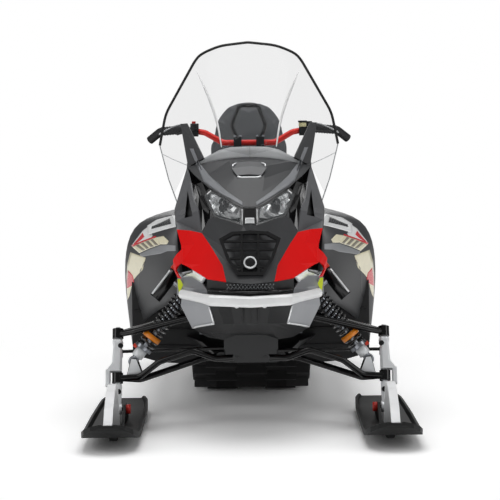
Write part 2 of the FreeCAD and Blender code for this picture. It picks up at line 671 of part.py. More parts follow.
def front_structure():
    """A pyramid of tubes from the bulkhead and the tunnel up to the steering post's bearing, with
    the brackets that the shocks hang on."""
    foot = BAR_CENTRE - STEER * (POST_LENGTH - 30)
    bearing = rod(foot - STEER * 20, foot + STEER * 20, POST_RADIUS + 10)
    tubes = []
    stand = BULKHEAD_FRONT + 52
    beside = SHOCK_EYE_HALF + SIDE_GAP
    for side in (-1, 1):
        hanger = (side * (SHOCK_HEAD.x - 32), SHOCK_HEAD.y, SHOCK_HEAD.z + 38)
        tubes.append(rod((side * 88, stand, 494), foot + Vec(side * 22, 0, 0), FRAME_TUBE))
        tubes.append(rod((side * 236, TUNNEL_FRONT + 30, 585), foot + Vec(side * 22, 0, 0), FRAME_TUBE))
        tubes.append(rod((side * 88, stand, 480), hanger, FRAME_TUBE))
        for y in (-beside - HEAD_BRACKET, beside):
            ear = front_plate([
                (side * (SHOCK_HEAD.x - 34), 548), (side * (SHOCK_HEAD.x - 34), 606),
                (side * (SHOCK_HEAD.x + 14), 606), (side * (SHOCK_HEAD.x + 14), 556)],
                SHOCK_HEAD.y + y, SHOCK_HEAD.y + y + HEAD_BRACKET)
            tubes.append(ear)
        web_y = SHOCK_HEAD.y - beside - HEAD_BRACKET
        tubes.append(block(sorted((side * (SHOCK_HEAD.x - 40), side * (SHOCK_HEAD.x - 30))),
                           (web_y, SHOCK_HEAD.y + beside + HEAD_BRACKET), (548, 612)))
        tubes.append(rod((side * SHOCK_HEAD.x, web_y - 6, SHOCK_HEAD.z),
                         (side * SHOCK_HEAD.x, SHOCK_HEAD.y + 28, SHOCK_HEAD.z), SHOCK_BOLT_RADIUS))
    frame = fused([bearing] + tubes)
    frame = frame.cut(rod(foot - STEER * 40, foot + STEER * 40, POST_RADIUS + PIN_GAP))
    bulk = side_plate([
        (BULKHEAD_FRONT - 118, 0), (BULKHEAD_FRONT - 118, 490), (BULKHEAD_FRONT + 62, 490),
        (ENGINE_FRONT, 472), (ENGINE_FRONT, 0)], -300, 300)
    feet = bulk.fuse(block((-300, 300), (TUNNEL_FRONT, 0), (0, TUNNEL_TOP[0][1])))
    return largest(frame.cut(feet))


def largest(shape):
    """The biggest solid of a shape."""
    return max(shape.Solids, key=lambda solid: solid.Volume)


def engine():
    """The engine, closed in by the body: one plain block on its mounts."""
    rear = BULKHEAD_REAR - 20
    return block((-ENGINE_HALF, ENGINE_HALF), (ENGINE_FRONT, rear), (ENGINE_FLOOR, ENGINE_TOP))


def tunnel():
    """The sheet-metal tunnel over the track, with its front wall left to the bulkhead."""
    outer = [(y, z) for y, z in TUNNEL_TOP]
    skirt = [(TUNNEL_REAR, 380), (TUNNEL_REAR - 120, TUNNEL_FOOT_Z), (TUNNEL_FRONT, TUNNEL_FOOT_Z)]
    body = side_plate(outer + skirt, -TUNNEL_OUT, TUNNEL_OUT)
    hollow = side_plate([(y - 1, z - TUNNEL_SHEET) for y, z in outer[:1]]
                        + [(y, z - TUNNEL_SHEET) for y, z in outer[1:-1]]
                        + [(TUNNEL_REAR + 1, TUNNEL_TOP[-1][1] - TUNNEL_SHEET), (TUNNEL_REAR + 1, 0),
                           (TUNNEL_FRONT - 1, 0)], -TUNNEL_IN, TUNNEL_IN)
    shell = body.cut(hollow)
    # The drive axle's bearings and the flanges that the running boards are riveted to.
    flange = block((TUNNEL_OUT - 1, TUNNEL_OUT + 22), (-290, 1000), (TUNNEL_FOOT_Z, TUNNEL_FOOT_Z + 4))
    shell = fused([shell, flange, mirrored(flange)])
    return shell.cut(rod((-400, DRIVE_Y, DRIVE_Z), (400, DRIVE_Y, DRIVE_Z), AXLE_RADIUS + PIN_GAP))


AXLE_RADIUS = 16
BOARD_OUT = 462
BOARD_SHEET = 4
BOARD_LIP = 26
BOARD_FRONT = -262
BOARD_REAR = 1000
BOARD_PITCH = 82               # from one row of holes to the next
BOARD_HOLE = 46


def running_board():
    """A stamped foot board: rows of holes, with the outer edge turned up."""
    z = TUNNEL_FOOT_Z + 4
    x0 = TUNNEL_OUT
    y0, y1 = BOARD_FRONT, BOARD_REAR
    plate = block((x0, BOARD_OUT), (y0, y1), (z, z + BOARD_SHEET))
    lip = block((BOARD_OUT - 14, BOARD_OUT), (y0, y1), (z, z + BOARD_LIP))
    board = plate.fuse(lip)
    holes = []
    for k in range(int((y1 - y0 - 60) // BOARD_PITCH)):
        y = y0 + 50 + k * BOARD_PITCH
        for x in (x0 + 30, x0 + 92):
            holes.append(block((x, x + BOARD_HOLE), (y, y + BOARD_HOLE), (z - 5, z + 15)))
    return board.cut(Part.makeCompound(holes)).removeSplitter()


# Each panel is a grid of points on its outer face: rows of (x, y, z) on the +X side.
CHIN_ROWS = [
    [(0, -1375, 586), (60, -1367, 588), (100, -1348, 592), (157, -1313, 601)],
    [(0, -1372, 540), (66, -1364, 540), (112, -1330, 540), (158, -1297, 550)],
    [(0, -1376, 490), (70, -1370, 490), (118, -1330, 490), (151, -1298, 490)],
    [(0, -1345, 430), (60, -1338, 430), (98, -1314, 427), (134, -1286, 426)],
    [(0, -1275, 392), (80, -1262, 386), (150, -1212, 390), (217, -1163, 397)],
    [(0, BULKHEAD_FRONT - 0.3, 372), (55, BULKHEAD_FRONT - 0.3, 371),
     (104, BULKHEAD_FRONT - 0.3, 355), (158, -1162, 362)],
]
CHIN_WALL = 4
FIN_PITCH = 28                 # from one fin of the chin's air intake to the next
FIN_PAIRS = 4
FIN_WIDTH = 3
FIN_SIDE = [(-1387, 486), (-1372, 486), (-1344, 438), (-1352, 436)]


def chin():
    """The black nose pan from under the fascia, behind the bumper and down to the bulkhead, with
    the upright fins of its air intake."""
    pan = centre_panel(CHIN_ROWS, CHIN_WALL, (0, -900, 450))
    fins = []
    for k in range(-FIN_PAIRS, FIN_PAIRS + 1):
        set_back = 12 if abs(k) > FIN_PAIRS - 2 else 0
        profile = [(y + set_back, z) for y, z in FIN_SIDE]
        fins.append(side_plate(profile, k * FIN_PITCH - FIN_WIDTH / 2, k * FIN_PITCH + FIN_WIDTH / 2))
    return largest(fused([pan] + fins))


def bay_pan():
    """The moulded pan under the engine bay, behind the arms."""
    # Columns: y, half width, height of the middle, height of the edge.
    stations = [(-765, 190, 219, 300), (-640, 230, 219, 300), (BULKHEAD_REAR - 6, 262, 226, 300)]
    rows = []
    for y, half, low, edge in stations:
        rows.append([(-half, y, edge), (-half * 0.55, y, low), (half * 0.55, y, low), (half, y, edge)])
    return skin(rows, CHIN_WALL, (0, -800, 900))


# ---------------------------------------------------------------- bodywork
MASK_ROWS = [
    [(0, -1252, 850), (24, -1248, 846), (60, -1215, 862), (118, -1160, 900)],
    [(0, -1150, 902), (48, -1146, 900), (96, -1118, 905), (150, -1080, 918)],
    [(0, -1052, 948), (56, -1048, 946), (118, -1022, 938), (177, -985, 934)],
    [(0, -975, 990), (64, -970, 990), (140, -930, 970), (214, -890, 962)],
    [(0, -880, 1012), (72, -874, 1012), (160, -850, 1004), (240, -800, 986)],
]
PILLAR_FOOT = [(176, -846, 1020), (236, -806, 986), (226, -790, 984), (170, -830, 1016)]
PILLAR_HEAD = [(239, -736, 1153), (266, -724, 1151), (264, -714, 1149), (237, -726, 1151)]
SCOOP_ROWS = [
    [(0, -1040, 962), (46, -1040, 958)],
    [(0, -1010, 992), (66, -1006, 984)],
    [(0, -960, 1008), (56, -956, 1004)],
]
NOSE_ROWS = [
    [(0, -1258, 786), (25, -1249, 781), (130, -1159, 808), (152, -1142, 800)],
    [(0, -1282, 745), (36, -1274, 747), (110, -1216, 752), (178, -1148, 749)],
    [(0, -1304, 700), (60, -1296, 704), (104, -1264, 708), (148, -1222, 712)],
    [(0, -1338, 640), (45, -1334, 640), (72, -1328, 640), (100, -1318, 640)],
    [(0, -1384, 578), (30, -1382, 580), (60, -1374, 582), (87, -1362, 585)],
]
LAMP_OUTLINE = [(25, 782), (130, 809), (165, 886), (144, 905), (24, 837)]      # columns: x, z
LAMP_BEZEL = 1.12              # size of the bezel's outline against the lens's
LAMP_PLANE = (-1517, 0.78, 0.32)       # y of the lens at the origin, and its slopes along x and z
RED_ROWS = [
    [(178, -1148, 749), (225, -1108, 757), (273, -1058, 758)],
    [(148, -1222, 712), (205, -1172, 712), (256, -1100, 700)],
    [(100, -1318, 640), (180, -1262, 640), (252, -1192, 640)],
    [(87, -1362, 585), (157, -1324, 595), (222, -1248, 628)],
]
ARCH_ROWS = [                  # a tail of the red panel round the air duct: outer edge, duct edge
    [(248, -1128, 694), (246, -1197, 645)],
    [(275, -1100, 667), (260, -1165, 638)],
    [(288, -1085, 647), (275, -1130, 622)],
    [(286, -1090, 613), (277, -1120, 607)],
    [(270, -1112, 580), (264, -1134, 588)],
    [(238, -1160, 566), (240, -1170, 576)],
]
LOWER_ROWS = [                 # the first two rows are the floor of the air duct
    [(160, -1318, 597), (206, -1246, 620), (266, -1140, 600)],
    [(176, -1270, 572), (214, -1204, 590), (256, -1146, 584)],
    [(158, -1297, 550), (205, -1236, 552), (250, -1172, 552)],
    [(151, -1298, 490), (200, -1230, 488), (258, -1165, 480)],
    [(134, -1286, 426), (180, -1222, 411), (217, -1163, 397)],
]
MARKER_LUG = [(272, 520), (270, 584), (258, 584), (244, 560), (240, 528)]
MARKER_DEPTH = 5
FAIRING_ROWS = [
    [(178, -1148, 749), (273, -1058, 758)],
    [(191, -1095, 829), (279, -955, 783)],
    [(210, -1050, 868), (283, -890, 800)],
    [(223, -960, 930), (286, -850, 812)],
    [(240, -800, 984), (290, -800, 824)],
]
FAIRING_VENT = [(234, 898), (214, 808), (245, 798)]
RECESS_ROWS = [                # the black intake beside each headlamp: fairing edge, floor, lamp edge
    [(179, -1145, 752), (166, -1126, 774), (152, -1138, 799)],
    [(191, -1093, 829), (176, -1060, 836), (150, -1100, 842)],
    [(210, -1048, 868), (190, -1013, 880), (158, -1072, 890)],
    [(223, -958, 930), (205, -950, 922), (178, -982, 932)],
]
SIDE_VENT = [(388, 742), (384, 752), (310, 794), (301, 772)]
SIDE_ROWS = [
    [(273, -1050, 757), (278, -960, 712), (270, -915, 650), (258, -900, 590), (246, -890, 500)],
    [(286, -850, 812), (330, -830, 760), (352, -830, 660), (336, -840, 560), (300, -850, 470)],
    [(300, -700, 848), (392, -640, 772), (440, -620, 670), (440, -610, 540), (392, -600, 400)],
    [(316, -560, 866), (440, -540, 744), (492, -500, 656), (498, -480, 500), (470, -460, 318)],
    [(318, -430, 868), (452, -430, 735), (506, -430, 600), (511, -420, 480), (486, -400, 224)],
    [(300, -300, 850), (430, -300, 735), (488, -300, 600), (492, -300, 480), (470, -300, 300)],
    [(262, -270, 820), (280, -270, 730), (TUNNEL_OUT + SIDE_GAP, -270, 600), (TUNNEL_OUT + SIDE_GAP, -270, 480),
     (TUNNEL_OUT + SIDE_GAP, -270, 306)],
]
DECK_ROWS = [
    [(0, -880, 1008), (110, -872, 1006), (240, -798, 984), (290, -798, 824)],
    [(0, -780, 1040), (100, -776, 1036), (226, -730, 986), (292, -700, 852)],
    [(0, -640, 960), (110, -640, 950), (230, -600, 925), (308, -560, 870)],
    [(0, -500, 880), (110, -490, 884), (220, -470, 880), (312, -430, 870)],
    [(0, -440, 862), (110, -440, 866), (210, -420, 862), (300, -306, 852)],
]
SHIELD_ROWS = [
    [(0, -838, 1030), (100, -812, 1052), (236, -796, 1000), (296, -722, 880)],
    [(0, -790, 1120), (116, -764, 1120), (250, -700, 1112), (352, -560, 1064)],
    [(0, -700, 1250), (140, -676, 1240), (240, -620, 1220), (330, -520, 1190)],
    [(0, -610, 1400), (165, -590, 1380), (206, -575, 1360), (268, -530, 1300)],
    [(0, -560, 1476), (110, -552, 1462), (180, -545, 1434), (206, -540, 1412)],
]
DEFLECTOR_ROWS = [
    [(300, -722, 880), (357, -560, 1064)],
    [(322, -650, 872), (366, -506, 1092)],
    [(346, -590, 930), (380, -470, 1040)],
]


INSIDE = (0, -600, 600)        # a point inside the hood, which the panels' inner faces turn to


def panel_pair(rows, wall):
    """Like panels on both sides of the machine."""
    return pair(skin(rows, wall, INSIDE))


def centre_panel(rows, wall=PANEL, behind=INSIDE):
    """One panel that crosses the middle: the rows are carried on to the other side."""
    full = [[(-x, y, z) for x, y, z in reversed(row) if x] + list(row) for row in rows]
    return skin(full, wall, behind)


def trimmed(shape, neighbours):
    """The solids of a shape after its neighbours' room is cut away."""
    made = []
    for solid in shape.Solids:
        rest = solid
        for other in neighbours:
            if rest.BoundBox.intersect(other.BoundBox):
                rest = rest.cut(other)
        made.append(largest(rest))
    if len(made) == 1:
        return made[0]
    return Part.makeCompound(made)


def hood_mask():
    """The V-shaped hood with its two horns that stand up behind the windshield's sides."""
    hood = centre_panel(MASK_ROWS)
    horn = ring_solid([PILLAR_FOOT, PILLAR_HEAD])
    return fused([hood, horn, mirrored(horn)])


def lamp_corners():
    """The corners of a headlamp's front face, which lies in one plane."""
    y0, slope_x, slope_z = LAMP_PLANE
    return [Vec(x, y0 + slope_x * x + slope_z * z, z) for x, z in LAMP_OUTLINE]


def lamp_housing():
    """A headlamp's open tub with a projector tube inside."""
    face = lamp_corners()
    middle = sum(face, Vec()) * (1 / len(face))
    tub = ring_solid([[middle + (p - middle) * LAMP_BEZEL for p in face],
                      [middle + (p - middle) * LAMP_BEZEL + Vec(-6, 62, -4) for p in face]])
    inner_face = [middle + (p - middle) * 0.88 + Vec(0.6, -6, 0.4) for p in face]
    inner_back = [middle + (p - middle) * 0.72 + Vec(-4, 50, -3) for p in face]
    tub = tub.cut(ring_solid([inner_face, inner_back]))
    projector = rod(middle + Vec(-6, 52, -4), middle + Vec(-6, 22, -4), 22)
    return tub.fuse(projector).removeSplitter()


def lamp_lens():
    """The clear cover of a headlamp, flush with the hood."""
    face = lamp_corners()
    normal = (face[1] - face[0]).cross(face[3] - face[0]).normalize()
    if normal.y > 0:
        normal = normal * -1
    front = [p + normal * 3.3 for p in face]
    back = [p + normal * 0.3 for p in face]
    return ring_solid([front, back])


GRILLE_LEAN = 29               # degrees that the grille's face leans back at the top
GRILLE_FOOT = (-1372, 609)     # y and z of the middle of its lower edge


BOSS_Z = 46                    # the round boss at the foot of the grille
BOSS_RADIUS = 26


def nose_fascia():
    """The centre of the nose round the grille, with the block between the headlamps."""
    face = centre_panel(NOSE_ROWS)
    bridge = block((-24, 24), (-1250, -1205), (780, 850))
    return fused([face, bridge])


def grille():
    """The nose grille: a frame round four slats and two ribs, drawn upright and then leant back."""
    outline = [(0, 178), (66, 174), (112, 146), (84, 64), (46, 0), (0, 0)]
    full = outline + [(-x, z) for x, z in reversed(outline) if x]
    frame = front_plate(full, 0, 12)
    hole = front_plate([(x * 0.88, 92 + (z - 92) * 0.86) for x, z in full], -10, 30)
    pieces = [frame.cut(hole)]
    for z in (34, 68, 102, 136):
        half = 42 + z * 0.46
        pieces.append(block((-half, half), (2, 9), (z - 4, z + 4)))
    for x in (-30, 30):
        pieces.append(block((x - 4, x + 4), (1, 10), (6, 170)))
    pieces.append(rod((0, -3, BOSS_Z), (0, 8, BOSS_Z), BOSS_RADIUS))
    made = fused(pieces)
    made.rotate(Vec(0, 0, 0), Vec(1, 0, 0), -GRILLE_LEAN)
    made.translate(Vec(0, *GRILLE_FOOT))
    return made


def front_bumper():
    """The bumper bar round the nose, held to the bulkhead by two arms."""
    line = [(0, -1418, 516), (140, -1384, 520), (250, -1226, 530)]
    full = [(-x, y, z) for x, y, z in reversed(line[1:])] + line
    bar = bent_bar(full, 17, 60)
    arms = []
    for side in (-1, 1):
        arms.append(rod((side * 50, -1406, 514), (side * 50, BULKHEAD_FRONT + 1, 430), 11))
    made = fused([bar] + arms)
    return made.cut(block((-200, 200), (BULKHEAD_FRONT, 0), (0, 900)))


# ---------------------------------------------------------------- seat, rack and rear
SEAT_FRONT = -240


def seat():
    """The two-up seat: a narrow front, a rider's dip and a raised place for the passenger."""
    # Columns: y, half width at the foot, half width at the top, height of the top.
    stations = [(SEAT_FRONT, 110, 60, 800), (-180, 126, 80, 824), (-100, 145, 100, 838), (150, 190, 140, 822),
                (440, 205, 165, 830), (520, 208, 168, 905), (620, 208, 170, 908), (840, 208, 172, 912),
                (960, 200, 168, 900)]
    rings = []
    for y, foot, half, top in stations:
        z0 = tunnel_top(y) + SIDE_GAP
        rings.append([(-foot, y, z0), (foot, y, z0), (foot + 8, y, top - 70), (half, y, top),
                      (-half, y, top), (-foot - 8, y, top - 70)])
    return ring_solid(rings)


def console():
    """The fuel tank's cover between the rider's knees, with its cap."""
    stations = [(-430, 130, 110, 846), (-330, 130, 100, 858), (SEAT_FRONT - SIDE_GAP, 112, 70, 812)]
    rings = []
    for y, foot, half, top in stations:
        z0 = tunnel_top(y)
        rings.append([(-foot, y, z0), (foot, y, z0), (foot, y, top - 60), (half, y, top),
                      (-half, y, top), (-foot, y, top - 60)])
    return ring_solid(rings)


BACKREST_Y = 985
BACKREST_DEPTH = 70
BACKREST_HALF = 192
BACKREST_FOOT = 930
BACKREST_TOP = 1246
# Columns: how far a corner of the pad's outline is in from its side, and its height.
BACKREST_OUTLINE = [
    (34, BACKREST_FOOT), (0, 970), (2, 1050), (16, 1110), (38, 1168), (98, 1232), (136, BACKREST_TOP)]


def backrest():
    """The passenger's backrest pad, with edges that draw in at the front and the rear."""
    middle = (BACKREST_FOOT + BACKREST_TOP) / 2
    rings = []
    for y, shrink in ((BACKREST_Y, 8), (BACKREST_Y + 12, 0), (BACKREST_Y + BACKREST_DEPTH - 12, 0),
                      (BACKREST_Y + BACKREST_DEPTH, 8)):
        side = []
        for inset, z in BACKREST_OUTLINE:
            scale = 1 - shrink / (BACKREST_TOP - middle)
            side.append(((BACKREST_HALF - inset) * scale, y, middle + (z - middle) * scale))
        rings.append(side + [(-x, y, z) for x, y, z in reversed(side)])
    return ring_solid(rings)


RACK_Z = 690
RACK_HALF = 215
RACK_BAR = 11
RACK_CROSS_BAR = 8
RACK_FRONT = 990
RACK_REAR = 1470
RACK_PITCH = 100               # from one cross bar to the next
RACK_STAY = 70                 # of the front cross bar, behind the rack's front


def rear_rack():
    """The cargo rack of bent tube with cross bars, and the backrest's two uprights."""
    half = [(RACK_HALF, RACK_REAR, RACK_Z), (RACK_HALF, RACK_FRONT + 20, RACK_Z),
            (RACK_HALF, RACK_FRONT, tunnel_top(RACK_FRONT) + 10)]
    rail = bent_bar([(-x, y, z) for x, y, z in reversed(half)] + half, RACK_BAR, 26)
    pieces = [rail]
    stay = RACK_FRONT + RACK_STAY
    for k in range(4):
        y = stay + k * RACK_PITCH
        pieces.append(rod((-RACK_HALF, y, RACK_Z), (RACK_HALF, y, RACK_Z), RACK_CROSS_BAR))
    leg = RACK_REAR - 140
    for side in (-1, 1):
        x = side * RACK_HALF
        pieces.append(rod((x, leg, RACK_Z), (x, leg, tunnel_top(leg) - 4), 9))
        head = (side * 110, BACKREST_Y + BACKREST_DEPTH + 6, 1100)
        pieces.append(rod((side * 110, stay, RACK_Z), head, 10))
    rack = fused(pieces)
    far = RACK_REAR + 130
    under = side_plate([
        (RACK_FRONT - 90, 0), (far, 0), (far, tunnel_top(far)), (TUNNEL_REAR, tunnel_top(TUNNEL_REAR)),
        (RACK_FRONT - 90, tunnel_top(RACK_FRONT - 90))], -300, 300)
    pad = (BACKREST_Y, BACKREST_Y + BACKREST_DEPTH + SIDE_GAP)
    back = block((-130, 130), pad, (BACKREST_FOOT - 30, BACKREST_TOP + 4))
    return largest(rack.cut(under).cut(back))


HITCH_Y = 1415
HITCH_PLATE = 10
HITCH_PIN_RADIUS = 8.25         # clears a 16 mm drawbar pin


def hitch():
    """The hitch tongue bolted on the tunnel's rear end, with its pin hole."""
    start, end = TUNNEL_REAR - 110, HITCH_Y + 26
    low = [(start, tunnel_top(start)), (TUNNEL_REAR, tunnel_top(TUNNEL_REAR)), (end, tunnel_top(end))]
    high = [(y, z + HITCH_PLATE) for y, z in reversed(low)]
    tongue = side_plate(low + high, -30, 30)
    return tongue.cut(rod((0, HITCH_Y, 400), (0, HITCH_Y, 600), HITCH_PIN_RADIUS))


REAR_TUBE = 12


def rear_bumper():
    """The tube round the tunnel's rear end."""
    reach = TUNNEL_OUT + 12.3
    start, corner = TUNNEL_REAR - 280, TUNNEL_REAR + 40
    half = [(150, REAR_END_Y - REAR_TUBE, 452), (reach, corner, 430), (reach, start, 430)]
    return bent_bar([(-x, y, z) for x, y, z in reversed(half)] + half, REAR_TUBE, 60)


def snow_flap():
    """The rubber flap behind the track."""
    rows = [
        [(-TUNNEL_OUT, TUNNEL_REAR + 5 + SIDE_GAP, 500), (TUNNEL_OUT, TUNNEL_REAR + 5 + SIDE_GAP, 500)],
        [(-TUNNEL_OUT, TUNNEL_REAR + 5 + SIDE_GAP, 440), (TUNNEL_OUT, TUNNEL_REAR + 5 + SIDE_GAP, 440)],
        [(-236, TUNNEL_REAR + 80, 250), (236, TUNNEL_REAR + 80, 250)],
        [(-200, TUNNEL_REAR + 96, 120), (200, TUNNEL_REAR + 96, 120)],
    ]
    return skin(rows, 5, (0, 0, 300))


def tail_lamp():
    """The tail lamp on the rear of the rack."""
    y = RACK_REAR + RACK_BAR
    return front_plate([(-90, RACK_Z - 24), (90, RACK_Z - 24), (104, RACK_Z), (90, RACK_Z + 24),
                        (-90, RACK_Z + 24), (-104, RACK_Z)], y, y + 34)


# ---------------------------------------------------------------- track and its suspension
RAIL_X = 126
RAIL_WIDTH = 20
CROSS_TUBE = 13
REAR_IDLER_Z = TRACK_BASE + REAR_IDLER_RADIUS
NOSE_CURVE_Z = TRACK_BASE + NOSE_CURVE_RADIUS


def loop_circles():
    """The wheels and the slide curve that the track runs round, in order. Columns: y, z, radius."""
    return [
        (DRIVE_Y, DRIVE_Z, DRIVE_RADIUS), (NOSE_CURVE_Y, NOSE_CURVE_Z, NOSE_CURVE_RADIUS),
        (REAR_IDLER_Y, REAR_IDLER_Z, REAR_IDLER_RADIUS), (CARRIER_Y, CARRIER_Z, CARRIER_RADIUS),
    ]


def loop_path():
    """The track's inner line as runs and arcs: (length, function of distance to point, outward)."""
    circles = loop_circles()
    tangents = []
    for (y0, z0, r0), (y1, z1, r1) in zip(circles, circles[1:] + circles[:1]):
        span = math.hypot(y1 - y0, z1 - z0)
        base = math.atan2(z1 - z0, y1 - y0)
        normal = base - math.acos((r0 - r1) / span)
        out = (math.cos(normal), math.sin(normal))
        tangents.append(((y0 + r0 * out[0], z0 + r0 * out[1]), (y1 + r1 * out[0], z1 + r1 * out[1]), normal))
    pieces = []
    for k, (start, end, normal) in enumerate(tangents):
        pieces.append(("run", start, end, normal))
        y, z, r = circles[(k + 1) % len(circles)]
        following = tangents[(k + 1) % len(tangents)][2]
        turn = (following - normal) % (2 * math.pi)
        pieces.append(("arc", (y, z), r, normal, turn))
    return pieces


def loop_points(count):
    """Evenly spaced places along the loop: (y, z, outward y, outward z)."""
    pieces = loop_path()
    lengths = []
    for piece in pieces:
        if piece[0] == "run":
            lengths.append(math.hypot(piece[2][0] - piece[1][0], piece[2][1] - piece[1][1]))
        else:
            lengths.append(piece[2] * piece[4])
    total = sum(lengths)
    found = []
    for k in range(count):
        s = total * k / count
        for piece, length in zip(pieces, lengths):
            if s <= length:
                break
            s -= length
        if piece[0] == "run":
            t = s / length
            y = piece[1][0] + (piece[2][0] - piece[1][0]) * t
            z = piece[1][1] + (piece[2][1] - piece[1][1]) * t
            angle = piece[3]
        else:
            angle = piece[3] + s / piece[2]
            y = piece[1][0] + piece[2] * math.cos(angle)
            z = piece[1][1] + piece[2] * math.sin(angle)
        found.append((y, z, math.cos(angle), math.sin(angle)))
    return found


def track():
    """The rubber track: one closed belt with rows of lugs that change from row to row."""
    places = loop_points(TRACK_PITCHES * 3)
    half = TRACK_WIDTH / 2
    inner = [(y, z) for y, z, ny, nz in places]
    outer = [(y + ny * TRACK_CARCASS, z + nz * TRACK_CARCASS) for y, z, ny, nz in places]
    belt = side_plate(outer, -half, half).cut(side_plate(inner, -half, half))
    lugs = []
    for row in range(TRACK_PITCHES):
        y, z, ny, nz = places[row * 3]
        spans = [(-244, -150), (-66, 66), (150, 244)] if row % 2 else [(-190, -60), (60, 190)]
        for x0, x1 in spans:
            rings = []
            for height, wide in ((TRACK_CARCASS - 3, TRACK_LUG_THICKNESS / 2),
                                 (TRACK_CARCASS + TRACK_LUG, TRACK_LUG_THICKNESS / 4)):
                cy, cz = y + ny * height, z + nz * height
                rings.append([(x0, cy - nz * wide, cz + ny * wide), (x0, cy + nz * wide, cz - ny * wide),
                              (x1, cy + nz * wide, cz - ny * wide), (x1, cy - nz * wide, cz + ny * wide)])
            lugs.append(ring_solid(rings))
    return belt.multiFuse(lugs).removeSplitter()


RAIL_GAP = 0.4
ROLLER_GAP = 1.2               # between a wheel and the track's inner face
WHEEL_WIDTH = 18


BOGIE_YS = (400, 880)           # of the small wheels that hold the track off the rails
BOGIE_RADIUS = 45
BOGIE_Z = TRACK_BASE + BOGIE_RADIUS
BOGIE_X = 174
BOGIE_AXLE = 8


REAR_AXLE = 10


def slide_rails():
    """The two slide rails with their turned-up front curve, joined by cross tubes."""
    base = TRACK_BASE + RAIL_GAP
    points = []
    for k in range(7):
        a = math.radians(-90 - 11 * (6 - k))
        r = NOSE_CURVE_RADIUS - RAIL_GAP
        points.append((NOSE_CURVE_Y + r * math.cos(a), NOSE_CURVE_Z + r * math.sin(a)))
    front_y, front_z = points[0]
    profile = [(front_y + 26, front_z + 34)] + points
    profile += [(REAR_IDLER_Y - 20, base), (REAR_IDLER_Y + 42, base + 60), (REAR_IDLER_Y + 42, base + 132),
                (REAR_IDLER_Y - 40, base + 120),
                (REAR_IDLER_Y - 260, base + 62), (NOSE_CURVE_Y, base + 62)]
    rail = side_plate(profile, RAIL_X - RAIL_WIDTH / 2, RAIL_X + RAIL_WIDTH / 2)
    holes = []
    for y in range(int(NOSE_CURVE_Y) + 60, int(REAR_IDLER_Y) - 220, 120):
        holes.append(block((RAIL_X - 20, RAIL_X + 20), (y, y + 60), (base + 20, base + 44)))
    rail = rail.cut(Part.makeCompound(holes))
    cross = []
    for y, z in ((NOSE_CURVE_Y + 40, base + 36), (REAR_IDLER_Y - 150, base + 60)):
        cross.append(rod((-RAIL_X, y, z), (RAIL_X, y, z), CROSS_TUBE))
    bores = [rod((-300, REAR_IDLER_Y, REAR_IDLER_Z), (300, REAR_IDLER_Y, REAR_IDLER_Z), REAR_AXLE + PIN_GAP)]
    for y in BOGIE_YS:
        bores.append(rod((-300, y, BOGIE_Z), (300, y, BOGIE_Z), BOGIE_AXLE + PIN_GAP))
    return fused([rail, mirrored(rail)] + cross).cut(Part.makeCompound(bores))


def wheel_set(y, z, radius, xs, axle_half, axle_radius):
    """Rubber-tyred wheels on one axle, as one solid."""
    pieces = [rod((-axle_half, y, z), (axle_half, y, z), axle_radius)]
    for x in xs:
        tyre = rod((x - WHEEL_WIDTH / 2, y, z), (x + WHEEL_WIDTH / 2, y, z), radius)
        dish = rod((x - WHEEL_WIDTH, y, z), (x - WHEEL_WIDTH / 4, y, z), radius * 0.72)
        pieces.append(tyre.cut(dish))
    return fused(pieces)


def idler_wheels():
    """The rear idlers, the bogie wheels beside the rails and the upper carrier wheels."""
    rear = wheel_set(REAR_IDLER_Y, REAR_IDLER_Z, REAR_IDLER_RADIUS - ROLLER_GAP,
                     (-190, -60, 60, 190), 205, REAR_AXLE)
    carrier = wheel_set(CARRIER_Y, CARRIER_Z, CARRIER_RADIUS - ROLLER_GAP,
                        (-190, 190), TUNNEL_IN - SIDE_GAP, 9)
    bogies = []
    for y in BOGIE_YS:
        stub = rod((RAIL_X - 16, y, BOGIE_Z), (BOGIE_X + 20, y, BOGIE_Z), BOGIE_AXLE)
        tyre = rod((BOGIE_X - WHEEL_WIDTH / 2, y, BOGIE_Z), (BOGIE_X + WHEEL_WIDTH / 2, y, BOGIE_Z),
                   BOGIE_RADIUS - ROLLER_GAP)
        dish = rod((BOGIE_X, y, BOGIE_Z), (BOGIE_X + WHEEL_WIDTH, y, BOGIE_Z), BOGIE_RADIUS * 0.7)
        bogies.append(fused([tyre.cut(dish), stub]))
    return Part.makeCompound([rear, carrier] + [x for wheel in bogies for x in (wheel, mirrored(wheel))])


def drive_axle():
    """The drive axle and its two toothed sprockets."""
    pieces = [rod((-TUNNEL_OUT - 6, DRIVE_Y, DRIVE_Z), (TUNNEL_OUT + 6, DRIVE_Y, DRIVE_Z), AXLE_RADIUS)]
    teeth = 9
    for x in (-90, 90):
        pieces.append(rod((x - 22, DRIVE_Y, DRIVE_Z), (x + 22, DRIVE_Y, DRIVE_Z), DRIVE_RADIUS - 12))
        for k in range(teeth):
            a = 2 * math.pi * k / teeth
            tooth = block((x - 14, x + 14), (-9, 9), (DRIVE_RADIUS - 30, DRIVE_RADIUS - 2))
            tooth.rotate(Vec(0, 0, 0), Vec(1, 0, 0), math.degrees(a))
            tooth.translate(Vec(0, DRIVE_Y, DRIVE_Z))
            pieces.append(tooth)
    return fused(pieces)


FRONT_ARM_TOP = (-110, 392)     # y and z of the cross shafts on the tunnel's walls
REAR_ARM_TOP = (470, 372)
ARM_SPREAD = 92                 # of an arm's two legs, from the middle


